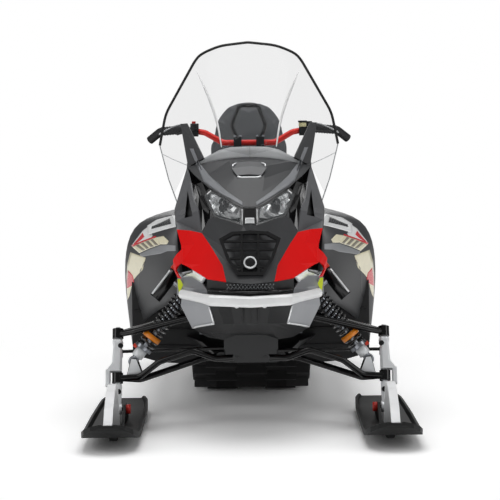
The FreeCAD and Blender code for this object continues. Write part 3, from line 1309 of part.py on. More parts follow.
def swing_arms():
    """The front and rear swing arms, each a shaft across the tunnel with two legs that end on a
    cross tube of the rails."""
    base = TRACK_BASE + RAIL_GAP
    feet = [(NOSE_CURVE_Y + 40, base + 36), (REAR_IDLER_Y - 150, base + 60)]
    arms = []
    for (y, z), (foot_y, foot_z) in zip((FRONT_ARM_TOP, REAR_ARM_TOP), feet):
        pieces = [rod((-TUNNEL_IN + SIDE_GAP, y, z), (TUNNEL_IN - SIDE_GAP, y, z), 14)]
        for side in (-1, 1):
            pieces.append(rod((side * ARM_SPREAD, y, z), (side * ARM_SPREAD, foot_y, foot_z), 12))
        foot = rod((-RAIL_X, foot_y, foot_z), (RAIL_X, foot_y, foot_z), CROSS_TUBE + PIN_GAP)
        arms.append(largest(fused(pieces).cut(foot)))
    return Part.makeCompound(arms)


def track_shocks():
    """The two dampers in the middle, from each swing arm's shaft to the rails' cross tubes."""
    base = TRACK_BASE + RAIL_GAP
    feet = [(NOSE_CURVE_Y + 40, base + 36), (REAR_IDLER_Y - 150, base + 60)]
    made = []
    for (y, z), (foot_y, foot_z) in zip((FRONT_ARM_TOP, REAR_ARM_TOP), feet):
        span = Vec(0, foot_y - y, foot_z - z)
        head = Vec(0, y, z)
        damper = rod(head, head + span, 12).fuse(rod(head + span * 0.38, head + span * 0.86, 24))
        ends = rod((-30, y, z), (30, y, z), 14 + PIN_GAP).fuse(
            rod((-30, foot_y, foot_z), (30, foot_y, foot_z), CROSS_TUBE + PIN_GAP))
        made.append(largest(damper.cut(ends)))
    return Part.makeCompound(made)


# ---------------------------------------------------------------- the machine
def build():
    """Every piece under its node's name."""
    made = {}
    made["bulkhead"] = bulkhead()
    made["front_structure"] = front_structure()
    made["engine_block"] = engine()
    made["tunnel"] = tunnel()
    made["running_boards"] = pair(running_board())
    made["hood_mask"] = hood_mask()
    made["hood_scoop"] = trimmed(centre_panel(SCOOP_ROWS), [made["hood_mask"]])
    made["nose_fascia"] = trimmed(nose_fascia(), [made["hood_mask"]])
    made["grille"] = trimmed(grille(), [made["nose_fascia"]])
    made["headlamp_housings"] = trimmed(pair(lamp_housing()), [made["hood_mask"], made["nose_fascia"]])
    made["headlamp_lenses"] = pair(lamp_lens())
    red = fused([skin(RED_ROWS, PANEL, INSIDE), skin(ARCH_ROWS, PANEL, INSIDE)])
    made["red_panels"] = trimmed(pair(red), [made["nose_fascia"], made["headlamp_housings"]])
    made["front_bumper"] = front_bumper()
    behind = [made["bulkhead"], made["nose_fascia"], made["red_panels"], made["front_bumper"]]
    nose = trimmed(chin(), behind)
    made["belly_pan"] = Part.makeCompound([nose, trimmed(bay_pan(), [made["bulkhead"]])])
    lug = front_plate(MARKER_LUG, -1168, -1168 + MARKER_DEPTH)
    lower = fused([skin(LOWER_ROWS, PANEL, INSIDE), lug])
    made["lower_panels"] = trimmed(pair(lower), [nose, made["red_panels"]])
    fairing = skin(FAIRING_ROWS, PANEL, INSIDE).cut(front_plate(FAIRING_VENT, -1200, -700))
    made["side_fairings"] = trimmed(pair(fairing), [
        made["red_panels"], made["hood_mask"], made["headlamp_housings"]])
    recesses = trimmed(panel_pair(RECESS_ROWS, PANEL), [
        made["side_fairings"], made["red_panels"], made["hood_mask"], made["headlamp_housings"],
        made["nose_fascia"]])
    made["grille"] = Part.makeCompound([made["grille"]] + recesses.Solids)
    side = skin(SIDE_ROWS, PANEL, (0, -500, 500)).cut(front_plate(SIDE_VENT, -1100, -560))
    side = trimmed(side, [made["side_fairings"], made["red_panels"], made["tunnel"]])
    made["side_panel_left"] = side
    made["side_panel_right"] = mirrored(side)
    post_way = block((-44, 44), (-560, -390), (700, 1000))
    made["gauge_console"] = trimmed(centre_panel(DECK_ROWS), [
        post_way, made["hood_mask"], side, mirrored(side), made["side_fairings"]])
    made["windshield"] = trimmed(centre_panel(SHIELD_ROWS, GLAZING), [
        made["hood_mask"], made["gauge_console"], side, mirrored(side)])
    made["side_deflectors"] = panel_pair(DEFLECTOR_ROWS, GLAZING)
    made["fuel_console"] = console()
    made["seat"] = seat()
    made["backrest"] = backrest()
    made["rear_rack"] = rear_rack()
    made["rear_bumper"] = Part.makeCompound([rear_bumper(), hitch()])
    made["snow_flap"] = snow_flap()
    made["tail_lamp"] = tail_lamp()
    made["slide_rails"] = slide_rails()
    made["idler_wheels"] = idler_wheels()
    made["swing_arms"] = swing_arms()
    made["track_shocks"] = track_shocks()
    made["drive_axle"] = drive_axle()
    made["track"] = track()
    made["upper_arms"] = pair(upper_arm())
    made["lower_arms"] = pair(lower_arm())
    made["shocks"] = pair(shock_body())
    made["shock_springs"] = pair(coil(SPRING_START, SPRING_END, on_shock, SPRING_RADIUS - SPRING_WIRE,
                                      SPRING_WIRE, SPRING_TURNS))
    made["steering_post"] = fused([steering_post(), grab_hoop()])
    made["handlebar"] = handlebar()
    made["grips"] = trimmed(pair(grip()), [made["handlebar"]])
    made["hand_controls"] = Part.makeCompound([hand_control(120, 34), mirrored(hand_control(60, 14))])
    made["pitman_arm"] = pitman_arm()
    made["tie_rod_left"] = tie_rod(0)
    made["tie_rod_right"] = mirrored(tie_rod(1))
    leg, board, handle = ski_leg(), ski(), ski_handle()
    handle = handle.cut(board)
    for name, shape in (("spindle", leg), ("ski", board), ("ski_handle", handle)):
        made[name + "_left"] = shape
        made[name + "_right"] = mirrored(shape)
    return made


os.makedirs("parts", exist_ok=True)
for name, shape in build().items():
    shape.exportStep(os.path.join("parts", name + ".step"))
    print(name, len(shape.Solids), round(shape.Volume / 1000), shape.isValid())
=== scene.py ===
import bpy
import math
import numpy as np
from mathutils import Matrix, Vector


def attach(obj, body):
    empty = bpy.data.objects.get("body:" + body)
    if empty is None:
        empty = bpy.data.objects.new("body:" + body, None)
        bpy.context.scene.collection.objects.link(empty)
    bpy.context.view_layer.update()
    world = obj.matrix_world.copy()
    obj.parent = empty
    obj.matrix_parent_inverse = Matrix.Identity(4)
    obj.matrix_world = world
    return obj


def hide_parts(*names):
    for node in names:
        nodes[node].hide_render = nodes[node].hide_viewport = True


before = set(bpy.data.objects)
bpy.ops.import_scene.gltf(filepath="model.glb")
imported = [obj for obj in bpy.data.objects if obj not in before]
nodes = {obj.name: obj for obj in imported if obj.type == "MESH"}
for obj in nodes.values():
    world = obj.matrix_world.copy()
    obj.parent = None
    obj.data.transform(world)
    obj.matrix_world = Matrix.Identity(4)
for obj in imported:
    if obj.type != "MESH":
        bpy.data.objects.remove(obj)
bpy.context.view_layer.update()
scene = bpy.context.scene
scene.view_settings.view_transform = "Standard"


# ------------------------------------------------------------------ the steel and alloy structure
# The bulkhead and the tunnel are folded aluminium sheet, powder coated black, and the tubes over
# the engine bay are welded steel. The engine sits between them as a cast block.
GRAIN_DEPTH = 0.0004                    # metres between the valleys and the tops of a surface's grain
COAT_ROUGHNESS = 0.06                   # of the clear film that a coat puts over a finish


def linear(code):
    """A colour written as an sRGB hex code, as the linear values that the shaders want."""
    parts = np.array([int(code[i:i + 2], 16) / 255 for i in (0, 2, 4)])
    curve = np.where(parts <= 0.04045, parts / 12.92, ((parts + 0.055) / 1.055) ** 2.4)
    return (*curve.tolist(), 1.0)


def add(tree, kind, settings=None, links=None):
    """Adds one node to a tree with its settings, and links other nodes' outputs to its sockets."""
    node = tree.nodes.new(kind)
    for key, value in (settings or {}).items():
        if isinstance(key, int) or key in node.inputs:
            node.inputs[key].default_value = value
        else:
            setattr(node, key, value)
    for key, source in (links or {}).items():
        tree.links.new(source, node.inputs[key])
    return node


def finish(name, code, rough, metal=0.0, coat=0.0, uneven=0.12, patch_mm=70, grain_mm=1.0,
           relief=0.15, rough_span=0.08, specular=0.5):
    """A finish of one base colour. The colour drifts by the share `uneven` over patches of
    patch_mm, and the roughness and the fine relief follow noise with a grain of grain_mm.
    specular is the strength of the bare surface's reflection, and coat that of a clear film on it.
    A grain too fine to show is drawn as coarse as it needs to be."""
    made = bpy.data.materials.new(name)
    made.use_nodes = True
    tree = made.node_tree
    shader = tree.nodes["Principled BSDF"]
    place = add(tree, "ShaderNodeTexCoord").outputs["Object"]
    patches = add(tree, "ShaderNodeTexNoise", {"Scale": 1000 / patch_mm, "Detail": 4.0}, {"Vector": place})
    grain = add(tree, "ShaderNodeTexNoise", {"Scale": 1000 / grain_mm, "Detail": 3.0}, {"Vector": place})
    base = np.array(linear(code)[:3])
    drift = add(tree, "ShaderNodeMix", {
        "data_type": "RGBA", 6: (*(base * (1 - uneven)), 1), 7: (*np.minimum(base * (1 + uneven), 1), 1)},
        {0: patches.outputs["Fac"]})
    span = add(tree, "ShaderNodeMapRange", {
        "To Min": max(rough - rough_span, 0.02), "To Max": min(rough + rough_span, 1.0)},
        {"Value": grain.outputs["Fac"]})
    bump = add(tree, "ShaderNodeBump", {"Strength": relief, "Distance": GRAIN_DEPTH},
               {"Height": grain.outputs["Fac"]})
    tree.links.new(drift.outputs[2], shader.inputs["Base Color"])
    tree.links.new(span.outputs[0], shader.inputs["Roughness"])
    tree.links.new(bump.outputs[0], shader.inputs["Normal"])
    shader.inputs["Metallic"].default_value = metal
    shader.inputs["Specular IOR Level"].default_value = specular
    shader.inputs["Coat Weight"].default_value = coat
    shader.inputs["Coat Roughness"].default_value = COAT_ROUGHNESS
    return made


def dress(names, material, edge_mm=0.0, crease=12):
    """Gives CAD nodes a material and, where edge_mm is set, rounds the edges that turn by more
    than `crease` degrees by that much. The rest is shaded smooth."""
    for name in names:
        piece = nodes[name]
        piece.data.materials.clear()
        piece.data.materials.append(material)
        if edge_mm:
            weld = piece.modifiers.new("weld", "WELD")
            weld.merge_threshold = 0.00002
            bevel = piece.modifiers.new("edge", "BEVEL")
            bevel.width = edge_mm / 1000
            bevel.segments = 2
            bevel.limit_method = "ANGLE"
            bevel.angle_limit = math.radians(crease)
            normals = piece.modifiers.new("normals", "WEIGHTED_NORMAL")
            normals.weight = 50
            normals.keep_sharp = False
            piece.data.polygons.foreach_set("use_smooth", np.ones(len(piece.data.polygons), bool))


# Powder coat melts to a satin skin with a faint orange peel. A sand mould leaves a dull, pitted grey.
powder_black = finish("satin_black_powder_coat", "1b1c1e", 0.42, coat=0.1, relief=0.12)
cast_alloy = finish("sand_cast_aluminium", "74777b", 0.4, metal=0.85, grain_mm=1.4, relief=0.3)
dress(["bulkhead", "front_structure", "tunnel", "running_boards"], powder_black)
dress(["engine_block"], cast_alloy)

# ------------------------------------------------------------------ the front suspension
# Forged steel arms in gloss black carry cast aluminium legs on kingpins. The coil-over shocks
# are zinc plated, with black springs, an orange divider ring and a black reservoir beside them.
SQUARE_CREASE = 52                      # degrees: rounds cut edges, and leaves a tube's own facets

# Gloss powder is near black with a thin highlight, blasted forging is pale and even, bright zinc
# is a soft mirror, and the springs' epoxy is black and wet looking.
gloss_black = finish("gloss_black_powder_coated_steel", "030304", 0.25, coat=0.5, relief=0.02, specular=0.2)
leg_alloy = finish("bead_blasted_forged_aluminium", "eceef0", 0.42, metal=0.25, grain_mm=0.8, relief=0.15)
zinc = finish("zinc_plated_steel", "9a9da3", 0.3, metal=1.0, relief=0.06)
spring_black = finish("epoxy_coated_spring_steel", "0a0a0b", 0.25, coat=0.6, relief=0.04)
dress(["upper_arms", "lower_arms", "pitman_arm"], gloss_black, 0.6, SQUARE_CREASE)
dress(["spindle_left", "spindle_right"], leg_alloy, 1.5)
dress(["shocks", "track_shocks"], zinc, 0.5, SQUARE_CREASE)
dress(["tie_rod_left", "tie_rod_right"], gloss_black, 0.5, SQUARE_CREASE)


def grid_faces(rows, columns, closed):
    """Quads between neighbours of a grid that is stored row by row. closed joins the last column
    to the first."""
    i = np.arange(rows - 1)[:, None]
    j = np.arange(columns if closed else columns - 1)[None, :]
    k = (j + 1) % columns
    quads = np.stack([i * columns + j, i * columns + k, (i + 1) * columns + k, (i + 1) * columns + j], 2)
    return quads.reshape(-1, 4)


def build(name, grids, material, body="chassis", closed=False, caps=False, smooth=True):
    """One mesh from several grids of points (rows, columns, 3) in metres. Its UV is the distance
    walked along the columns and rows, in metres. caps closes the first and last row."""
    verts, faces, uvs, start = [], [], [], 0
    for grid in grids:
        rows, columns = grid.shape[:2]
        across = np.linalg.norm(np.diff(grid, axis=1), axis=2).cumsum(1)
        along = np.linalg.norm(np.diff(grid, axis=0), axis=2).cumsum(0)
        u = np.concatenate([np.zeros((rows, 1)), across], 1)
        v = np.concatenate([np.zeros((1, columns)), along], 0)
        verts.append(grid.reshape(-1, 3))
        uvs.append(np.stack([u, v], 2).reshape(-1, 2))
        faces += (grid_faces(rows, columns, closed) + start).tolist()
        if caps:
            faces.append((np.arange(columns)[::-1] + start).tolist())
            faces.append((np.arange(columns) + (rows - 1) * columns + start).tolist())
        start += rows * columns
    mesh = bpy.data.meshes.new(name)
    mesh.from_pydata(np.concatenate(verts).tolist(), [], faces)
    corners = np.zeros(len(mesh.loops), np.int32)
    mesh.loops.foreach_get("vertex_index", corners)
    mesh.uv_layers.new(name="UVMap").data.foreach_set("uv", np.concatenate(uvs)[corners].ravel())
    mesh.polygons.foreach_set("use_smooth", np.full(len(mesh.polygons), smooth))
    mesh.materials.append(material)
    piece = bpy.data.objects.new(name, mesh)
    scene.collection.objects.link(piece)
    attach(piece, body)
    return piece


def build_solid(name, grids, material, body="chassis", smooth=True):
    """The same for grids that run round a piece, closed and with a cap on each end."""
    return build(name, grids, material, body, closed=True, caps=True, smooth=smooth)


def mirrored(grid):
    """A grid's mirror image on the other side of the machine, with its faces still outwards."""
    return (grid * np.array([-1, 1, 1]))[:, ::-1]


def both(grid):
    """A grid of the left side, and its mirror image."""
    return [grid, mirrored(grid)]


def sided(grids):
    """Grids of the left side, and their mirror images, each set with its side's name."""
    return ("left", grids), ("right", [mirrored(grid) for grid in grids])


def unit(vectors):
    """Vectors over their own lengths."""
    return vectors / np.linalg.norm(vectors, axis=-1, keepdims=True)


def sweep(path, radius, sides=8, flat=1.0, up=(0.0, 0.0, 1.0)):
    """A grid round a path: a circle of `sides` points, squeezed to `flat` of its radius along
    the second axis, set square to the path's direction at each point. radius may be a list."""
    path = np.asarray(path, float)
    ahead = unit(np.gradient(path, axis=0))
    side = unit(np.cross(ahead, np.array(up)))
    over = np.cross(side, ahead)
    turn = np.linspace(0, 2 * np.pi, sides, endpoint=False)
    radius = np.broadcast_to(np.asarray(radius, float), (len(path),))[:, None, None]
    ring = np.cos(turn)[None, :, None] * side[:, None] + flat * np.sin(turn)[None, :, None] * over[:, None]
    return path[:, None] + ring * radius


SHOCK_FOOT = np.array((0.446, -1.003, 0.258))
SHOCK_HEAD = np.array((0.206, -0.968, 0.560))
RESERVOIR_OUT = 82                      # mm from the shock's axis to the reservoir's
shock_axis = unit(SHOCK_HEAD - SHOCK_FOOT)
shock_side = unit(np.array((shock_axis[2], 0, -shock_axis[0])))


def on_shock(along, out=0.0, ahead=0.0):
    """Points at distances in mm along a shock from its foot, out towards the reservoir, and
    straight ahead, in metres."""
    along = np.atleast_1d(along)[:, None]
    return SHOCK_FOOT + (shock_axis * along + shock_side * out + np.array((0, -1, 0)) * ahead) / 1000


def shock_part(name, stations, material, sides=24, out=0.0, ahead=0.0, caps=True, smooth=True):
    """A turned piece on both shocks: rows of (distance along, radius) in mm, on an axis that
    stands `out` and `ahead` of the shock's own."""
    along, radius = np.array(stations, float).T
    grid = sweep(on_shock(along, out, ahead), radius / 1000, sides, up=(0, 1, 0))
    return build(name, both(grid), material, closed=True, caps=caps, smooth=smooth)


# Anodising is dark and silky, acetal has a waxy shine, and the damper's chrome is a clean mirror.
black_anodised = finish("black_anodised_aluminium", "0d0d0f", 0.28, metal=0.4, coat=0.4, relief=0.04)
orange_plastic = finish("orange_acetal_divider_ring", "e8860c", 0.35, coat=0.3, relief=0.04)
red_anodised = finish("red_anodised_knob", "d83a20", 0.3, metal=0.3, coat=0.3, relief=0.04)
dark_chrome = finish("smoked_hard_chrome", "7d8085", 0.16, metal=1.0, relief=0.02)
# A bright silver for the painted highlight along each black reservoir.
silver_highlight_paint = finish("painted_highlight_silver", "e4e6e8", 0.3, metal=0.3, relief=0.04)
shock_part("reservoir_sleeves", [(237.5, 22.5), (238.5, 23.8), (366, 23.8), (367, 22.5)], black_anodised, 32,
           RESERVOIR_OUT)
# A silver stripe along each reservoir's outer side is a painted highlight: it stands for the lamps'
# reflection on the black cylinder.
stripe = on_shock(np.linspace(246, 358, 6), RESERVOIR_OUT + 18, 15.5)
build_solid("reservoir_highlight_stripes", both(sweep(stripe, 0.0048, 8, 0.5, up=(-0.7, 1, 0))), silver_highlight_paint)
shock_part("reservoir_knobs", [(367.2, 10), (367.5, 12.5), (388, 12.5), (392, 10)], red_anodised, 12,
           RESERVOIR_OUT + 12, 12, smooth=False)
SPRING_TURNS = 13
SPRING_REACH = (74.5, 313.5)            # mm from the shock's foot to the first and the last turn
SPRING_RADIUS = 0.0305                  # to the middle of the wire
SPRING_WIRE = 0.0045                    # the wire's own radius
spring_at = np.linspace(0, 1, SPRING_TURNS * 14 + 1)
spring_turn = 2 * np.pi * SPRING_TURNS * spring_at
spring_path = (on_shock(SPRING_REACH[0] + (SPRING_REACH[1] - SPRING_REACH[0]) * spring_at)
               + SPRING_RADIUS * np.cos(spring_turn)[:, None] * shock_side
               + SPRING_RADIUS * np.sin(spring_turn)[:, None] * np.cross(shock_axis, shock_side))
springs = build_solid("coil_springs", both(sweep(spring_path, SPRING_WIRE, 8, up=shock_axis)), spring_black)
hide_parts("shock_springs")
shock_part("spring_dividers", [(103, 26), (104, 36.2), (124, 36.2), (125, 26)], orange_plastic, 32)
shock_part("damper_sleeves", [(165, 17), (170, 19.5), (335, 19.5)], dark_chrome, caps=False)

BRACKET = [(412, 210), (434, 268), (452, 270), (468, 210)]      # x and z of its corners
BRACKET_FACES = (-1031.8, -1030.2)      # y of its front and its back
bracket = np.array([[(x, y, z) for x, z in BRACKET] for y in BRACKET_FACES]) / 1000
build_solid("shock_bracket_covers", both(bracket), leg_alloy, smooth=False)
shock_part("shock_clevises", [(20, 19), (21.5, 22.5), (52, 22.5), (55, 19)], leg_alloy)
shock_part("rebound_knobs", [(44, 7), (44.5, 8.5), (56, 8.5), (58, 7)], red_anodised, 12, 30, smooth=False)

# Two dark bolt heads show on each leg, square to its leaning face.
LEG_BOLTS = [(0.494, -0.9975, 0.317), (0.500, -1.0610, 0.150)]
LEG_AHEAD = np.array((0, -0.94, 0.34))
BOLT_STATIONS = np.array([-0.004, 0.0, 0.0035, 0.0045])[:, None]
BOLT_RADII = [0.0105, 0.0105, 0.0095, 0.0055]
heads = [sweep(np.array(place) + LEG_AHEAD * BOLT_STATIONS, BOLT_RADII, 16, up=(1, 0, 0))
         for place in LEG_BOLTS]
for label, grids in sided(heads):
    build_solid("leg_bolts_" + label, grids, black_anodised, "leg_" + label)

# ------------------------------------------------------------------ the skis
# Each ski is moulded of tough charcoal polyethylene with a grained top, and has a forged
# aluminium loop at its tip and a red rubber bush at its bolt.

# The mould's grain keeps the ski dull, the loop's satin spreads its highlights wide, and urethane
# shines a little, as hard rubber does.
ski_plastic = finish("moulded_charcoal_polyethylene", "141515", 0.6, grain_mm=1.6, relief=0.5, specular=0.3)
loop_alloy = finish("satin_forged_aluminium", "f0f1f2", 0.5, metal=0.15, relief=0.06)
red_rubber = finish("red_urethane_bush", "c32a20", 0.45, relief=0.1)
SKI_X = 0.505
SKI_BOLT = (-1.066, 0.084)              # y and z
BUSH_STATIONS = (0.030, 0.031, 0.049, 0.050)                    # inwards from the ski's middle
dress(["ski_left", "ski_right"], ski_plastic, 1.2)
dress(["ski_handle_left", "ski_handle_right"], loop_alloy, 3.0)
bush = sweep([(SKI_X - inwards, *SKI_BOLT) for inwards in BUSH_STATIONS], [0.015, 0.018, 0.018, 0.015], 20)
for label, grids in sided([bush]):
    build_solid("ski_bush_" + label, grids, red_rubber, "ski_" + label)

# ------------------------------------------------------------------ the track and its rails
# The track is moulded rubber on a fabric carcass. It runs on slide rails of extruded aluminium
# and on rubber-tyred wheels.

# Moulded rubber is matt and faintly grained. The die leaves the rails smooth with a soft shine.
track_rubber = finish("moulded_track_rubber", "1d1d1e", 0.68, grain_mm=1.4, relief=0.4)
wheel_rubber = finish("moulded_wheel_rubber", "1b1b1c", 0.6, grain_mm=1.0, relief=0.2)
rail_alloy = finish("extruded_aluminium_rail", "a8abb0", 0.34, metal=0.85, relief=0.08)
dress(["track", "snow_flap"], track_rubber)
dress(["idler_wheels"], wheel_rubber)
dress(["slide_rails", "drive_axle"], rail_alloy)
dress(["swing_arms"], gloss_black)

# ------------------------------------------------------------------ the nose
# The fascia, the red panels and the light panels under them are painted or moulded ABS, held by
# screws from behind. The chin and the grille are black polypropylene, and the bumper is a bent
# aluminium extrusion.

# Grained mouldings are dull, polished moulds and paint shine, and the red stays even and strong.
black_moulding = finish("grained_black_polypropylene", "101113", 0.5, grain_mm=0.9, relief=0.3)
gloss_moulding = finish("gloss_black_abs", "0b0b0d", 0.22, coat=0.6, relief=0.05)
fascia_grey = finish("satin_dark_grey_abs", "3a3b3d", 0.42, grain_mm=0.7, relief=0.12)
red_paint = finish("gloss_red_painted_abs", "e80000", 0.5, uneven=0.05, relief=0.02, specular=0.2)
light_paint = finish("metallic_light_grey_paint", "94969a", 0.34, metal=0.2, coat=0.4, patch_mm=110,
                     relief=0.04)
bumper_alloy = finish("clear_anodised_aluminium_bumper", "f6f7f8", 0.34, metal=0.1, relief=0.05)
bright_plate = finish("satin_chromed_abs_trim", "f0f2f4", 0.24, metal=0.5, relief=0.03)
# The chin's mesh is gloss black; its metallic mid grey is a painted sheen for its bright highlights.
chin_weave_sheen = finish("black_mesh_with_painted_sheen", "606265", 0.2, metal=0.7, coat=0.5, relief=0.02)
marker_yellow = finish("fluorescent_yellow_reflector", "e6fa12", 0.35, coat=0.4, relief=0.02)
dress(["nose_fascia"], fascia_grey, 2.0)
dress(["grille"], gloss_moulding, 1.0)
dress(["belly_pan"], black_moulding, 3.0)
dress(["red_panels"], red_paint, 2.0)
dress(["lower_panels"], light_paint, 2.0)
dress(["front_bumper"], bumper_alloy)


def subdivided(points, steps):
    """A polyline in mm with each side cut into `steps` equal parts, in metres."""
    points = np.asarray(points, float) / 1000
    at = np.linspace(0, len(points) - 1, (len(points) - 1) * steps + 1)
    return np.stack([np.interp(at, np.arange(len(points)), points[:, k]) for k in range(3)], 1)


def ruled(left, right, across=5, steps=8):
    """A grid of straight lines from one polyline to another of as many corners, both in mm."""
    a, b = subdivided(left, steps), subdivided(right, steps)
    t = np.linspace(0, 1, across)[None, :, None]
    return a[:, None] * (1 - t) + b[:, None] * t


marker = ruled([(269, -1169.5, 581), (268, -1169.5, 556), (264, -1169.5, 529)],
               [(259, -1169.5, 581), (248, -1169.5, 559), (263, -1169.5, 530)], 3, 3)
build("side_reflectors", both(marker), marker_yellow)


def thicken(piece, wall_mm, offset=-1.0):
    """Gives a sheet its wall: all of it behind the sheet at offset -1, half of it at 0."""
    wall = piece.modifiers.new("wall", "SOLIDIFY")
    wall.thickness = wall_mm / 1000
    wall.offset = offset


def project(name, grids, target, material, lift, thick, catch=False):
    """Thin pieces that are laid on a CAD node or a shell from the front: each vertex travels
    rearwards to the first face and stops `lift` mm before it. The sheet is `thick` mm deep. catch
    sends vertices that miss to the nearest face."""
    piece = build(name, grids, material)
    for way in ("PROJECT", "NEAREST_SURFACEPOINT")[:2 if catch else 1]:
        wrap = piece.modifiers.new("laid_on", "SHRINKWRAP")
        wrap.target = nodes[target] if target in nodes else bpy.data.objects[target]
        wrap.wrap_method = way
        wrap.wrap_mode = "OUTSIDE_SURFACE"
        wrap.use_project_x, wrap.use_project_y, wrap.use_project_z = False, True, False
        wrap.offset = lift / 1000
    thicken(piece, thick, 0.0)


AHEAD_Y = -1700                         # mm, a plane ahead of the whole machine


def facing(left, right, across=7, steps=10):
    """A ruled grid between two lines of (x, z) corners in mm on the plane ahead of the machine,
    to be laid on a panel from the front."""
    return ruled([(x, AHEAD_Y, z) for x, z in left], [(x, AHEAD_Y, z) for x, z in right], across, steps)


# The bumper's band: a closed profile carried along the tube. Columns: out from the tube, up.
BAND_PROFILE = np.array([(-17.8, 19), (9, 19), (18.4, 10), (18.4, -9), (8, -20), (-17.8, -20)]) / 1000
BAND_TAPER = np.array([0.35, 1.0, 1.0, 1.0, 0.35])[:, None, None]      # of its height at each corner
BUMPER_LINE = [(250, -1226, 530), (140, -1384, 520), (0, -1418, 516), (-140, -1384, 520),
               (-250, -1226, 530)]
bumper_path = subdivided(BUMPER_LINE, 1)
bumper_out = unit(np.cross(unit(np.gradient(bumper_path, axis=0)), (0, 0, -1.0)))
bumper_grid = (bumper_path[:, None] + BAND_PROFILE[None, :, :1] * bumper_out[:, None]
               + BAND_PROFILE[None, :, 1:] * BAND_TAPER * np.array((0, 0, 1.0)))
band = build_solid("bumper_band", [bumper_grid], bumper_alloy, smooth=False)
band_edge = band.modifiers.new("edge", "BEVEL")
band_edge.width = 0.0025
band_edge.segments = 2
band_edge.limit_method = "ANGLE"

# A bare badge: a bright ring round a dark dish, on the boss in the middle of the grille.
BADGE_CENTRE = np.array((0, -1.3520, 0.6520))
BADGE_LEAN = math.radians(29)
badge_ahead = np.array((0, -math.cos(BADGE_LEAN), math.sin(BADGE_LEAN)))
badge_up = np.array((0, math.sin(BADGE_LEAN), math.cos(BADGE_LEAN)))


def turned(profile, centre, ahead, up, sides=40):
    """A grid turned round an axis: rows of (radius, distance ahead) in mm."""
    right = np.cross(ahead, up)
    angle = np.linspace(0, 2 * np.pi, sides, endpoint=False)[None, :, None]
    radius, along = np.array(profile, float).T[:, :, None, None] / 1000
    return centre + along * ahead + radius * (np.cos(angle) * right + np.sin(angle) * up)


BADGE_RING = [(18.5, 0), (18.5, 4), (20, 5.5), (22.5, 5.5), (24, 4), (24, 0)]
BADGE_DISH = [(0.2, 2.5), (10, 2.2), (18.6, 1)]
build("badge_ring", [turned(BADGE_RING, BADGE_CENTRE, badge_ahead, badge_up)], bright_plate, closed=True)
build("badge_dish", [turned(BADGE_DISH, BADGE_CENTRE, badge_ahead, badge_up)], gloss_moulding, closed=True)

# Bright beads along the inner and lower edges of the light panels, and the ducts' floors.
inner_bead = subdivided([(151, -1299, 490), (135, -1289, 428)], 4)
lower_bead = subdivided([(134, -1290, 427), (180, -1228, 413), (213, -1175, 401)], 4)
beads = both(sweep(inner_bead, 0.0036)) + both(sweep(lower_bead, 0.0044))
build_solid("lower_panel_edges", beads, bright_plate)
duct_floor = facing([(264, 599), (208, 618), (164, 597)], [(254, 586), (213, 592), (177, 574)], 6, 8)
project("duct_floors", both(duct_floor), "lower_panels", bright_plate, 0.4, 0.6)
# A gloss black sheet lies in the back of each duct: painted shade where the cavity behind the panels falls
# dark.
duct_painted_shade = facing([(265, 600), (240, 609), (212, 618)], [(250, 588), (236, 598), (210, 610)], 4, 6)
project("duct_painted_shades", both(duct_painted_shade), "lower_panels", gloss_moulding, 0.9, 0.6)

# A rounded lip hangs over the chin's intake, and a woven mesh of crossing wires lies in it. The
# intake's front is a parabola: y = foot + bend x squared, in mm.
CHIN_LIP = [(-150, -1312, 551), (-104, -1356, 549), (0, -1389, 547), (104, -1356, 549), (150, -1312, 551)]
build_solid("chin_lip", [sweep(subdivided(CHIN_LIP, 6), 0.0065, 10, 0.8)], gloss_moulding)
INTAKE_FOOT = -1381
INTAKE_BEND = 0.0016
INTAKE_HALF = 78
WEAVE_PITCH = 13
WEAVE_LEAN = 7
weave = []
for x in range(-INTAKE_HALF, INTAKE_HALF + 1, WEAVE_PITCH):
    y = INTAKE_FOOT + INTAKE_BEND * x * x
    for lean in (-WEAVE_LEAN, WEAVE_LEAN):
        weave.append(sweep(subdivided([(x - lean, y, 557), (x + lean, y, 577)], 1), 0.0018, 6, up=(0, 1, 0)))
build_solid("intake_weave", weave, chin_weave_sheen)

# ------------------------------------------------------------------ the hood
# The hood and its scoop are separate mouldings of ABS, clipped together. The light grey strips
# that run from the horns' tops down to the point between the lamps are a painted highlight along
# the edges of the hood's facets.

# All are satin from a finely etched mould, and the fairings have a metallic paint that catches
# a little more light.
hood_grey = finish("satin_charcoal_abs", "38393b", 0.45, grain_mm=0.7, relief=0.12)
scoop_grey = finish("satin_mid_grey_abs", "5c5d5f", 0.42, grain_mm=0.7, relief=0.1)
# The strips' lighter grey is a painted highlight on the hood.
hood_highlight_grey = finish("painted_highlight_grey_strip", "7c7e82", 0.42, grain_mm=0.7, relief=0.1)
fairing_grey = finish("painted_dark_grey_fairing", "58595c", 0.42, metal=0.1, coat=0.2, relief=0.04)
dress(["hood_mask"], hood_grey, 2.0)
dress(["hood_scoop"], scoop_grey, 1.5)
dress(["side_fairings"], fairing_grey, 1.5)
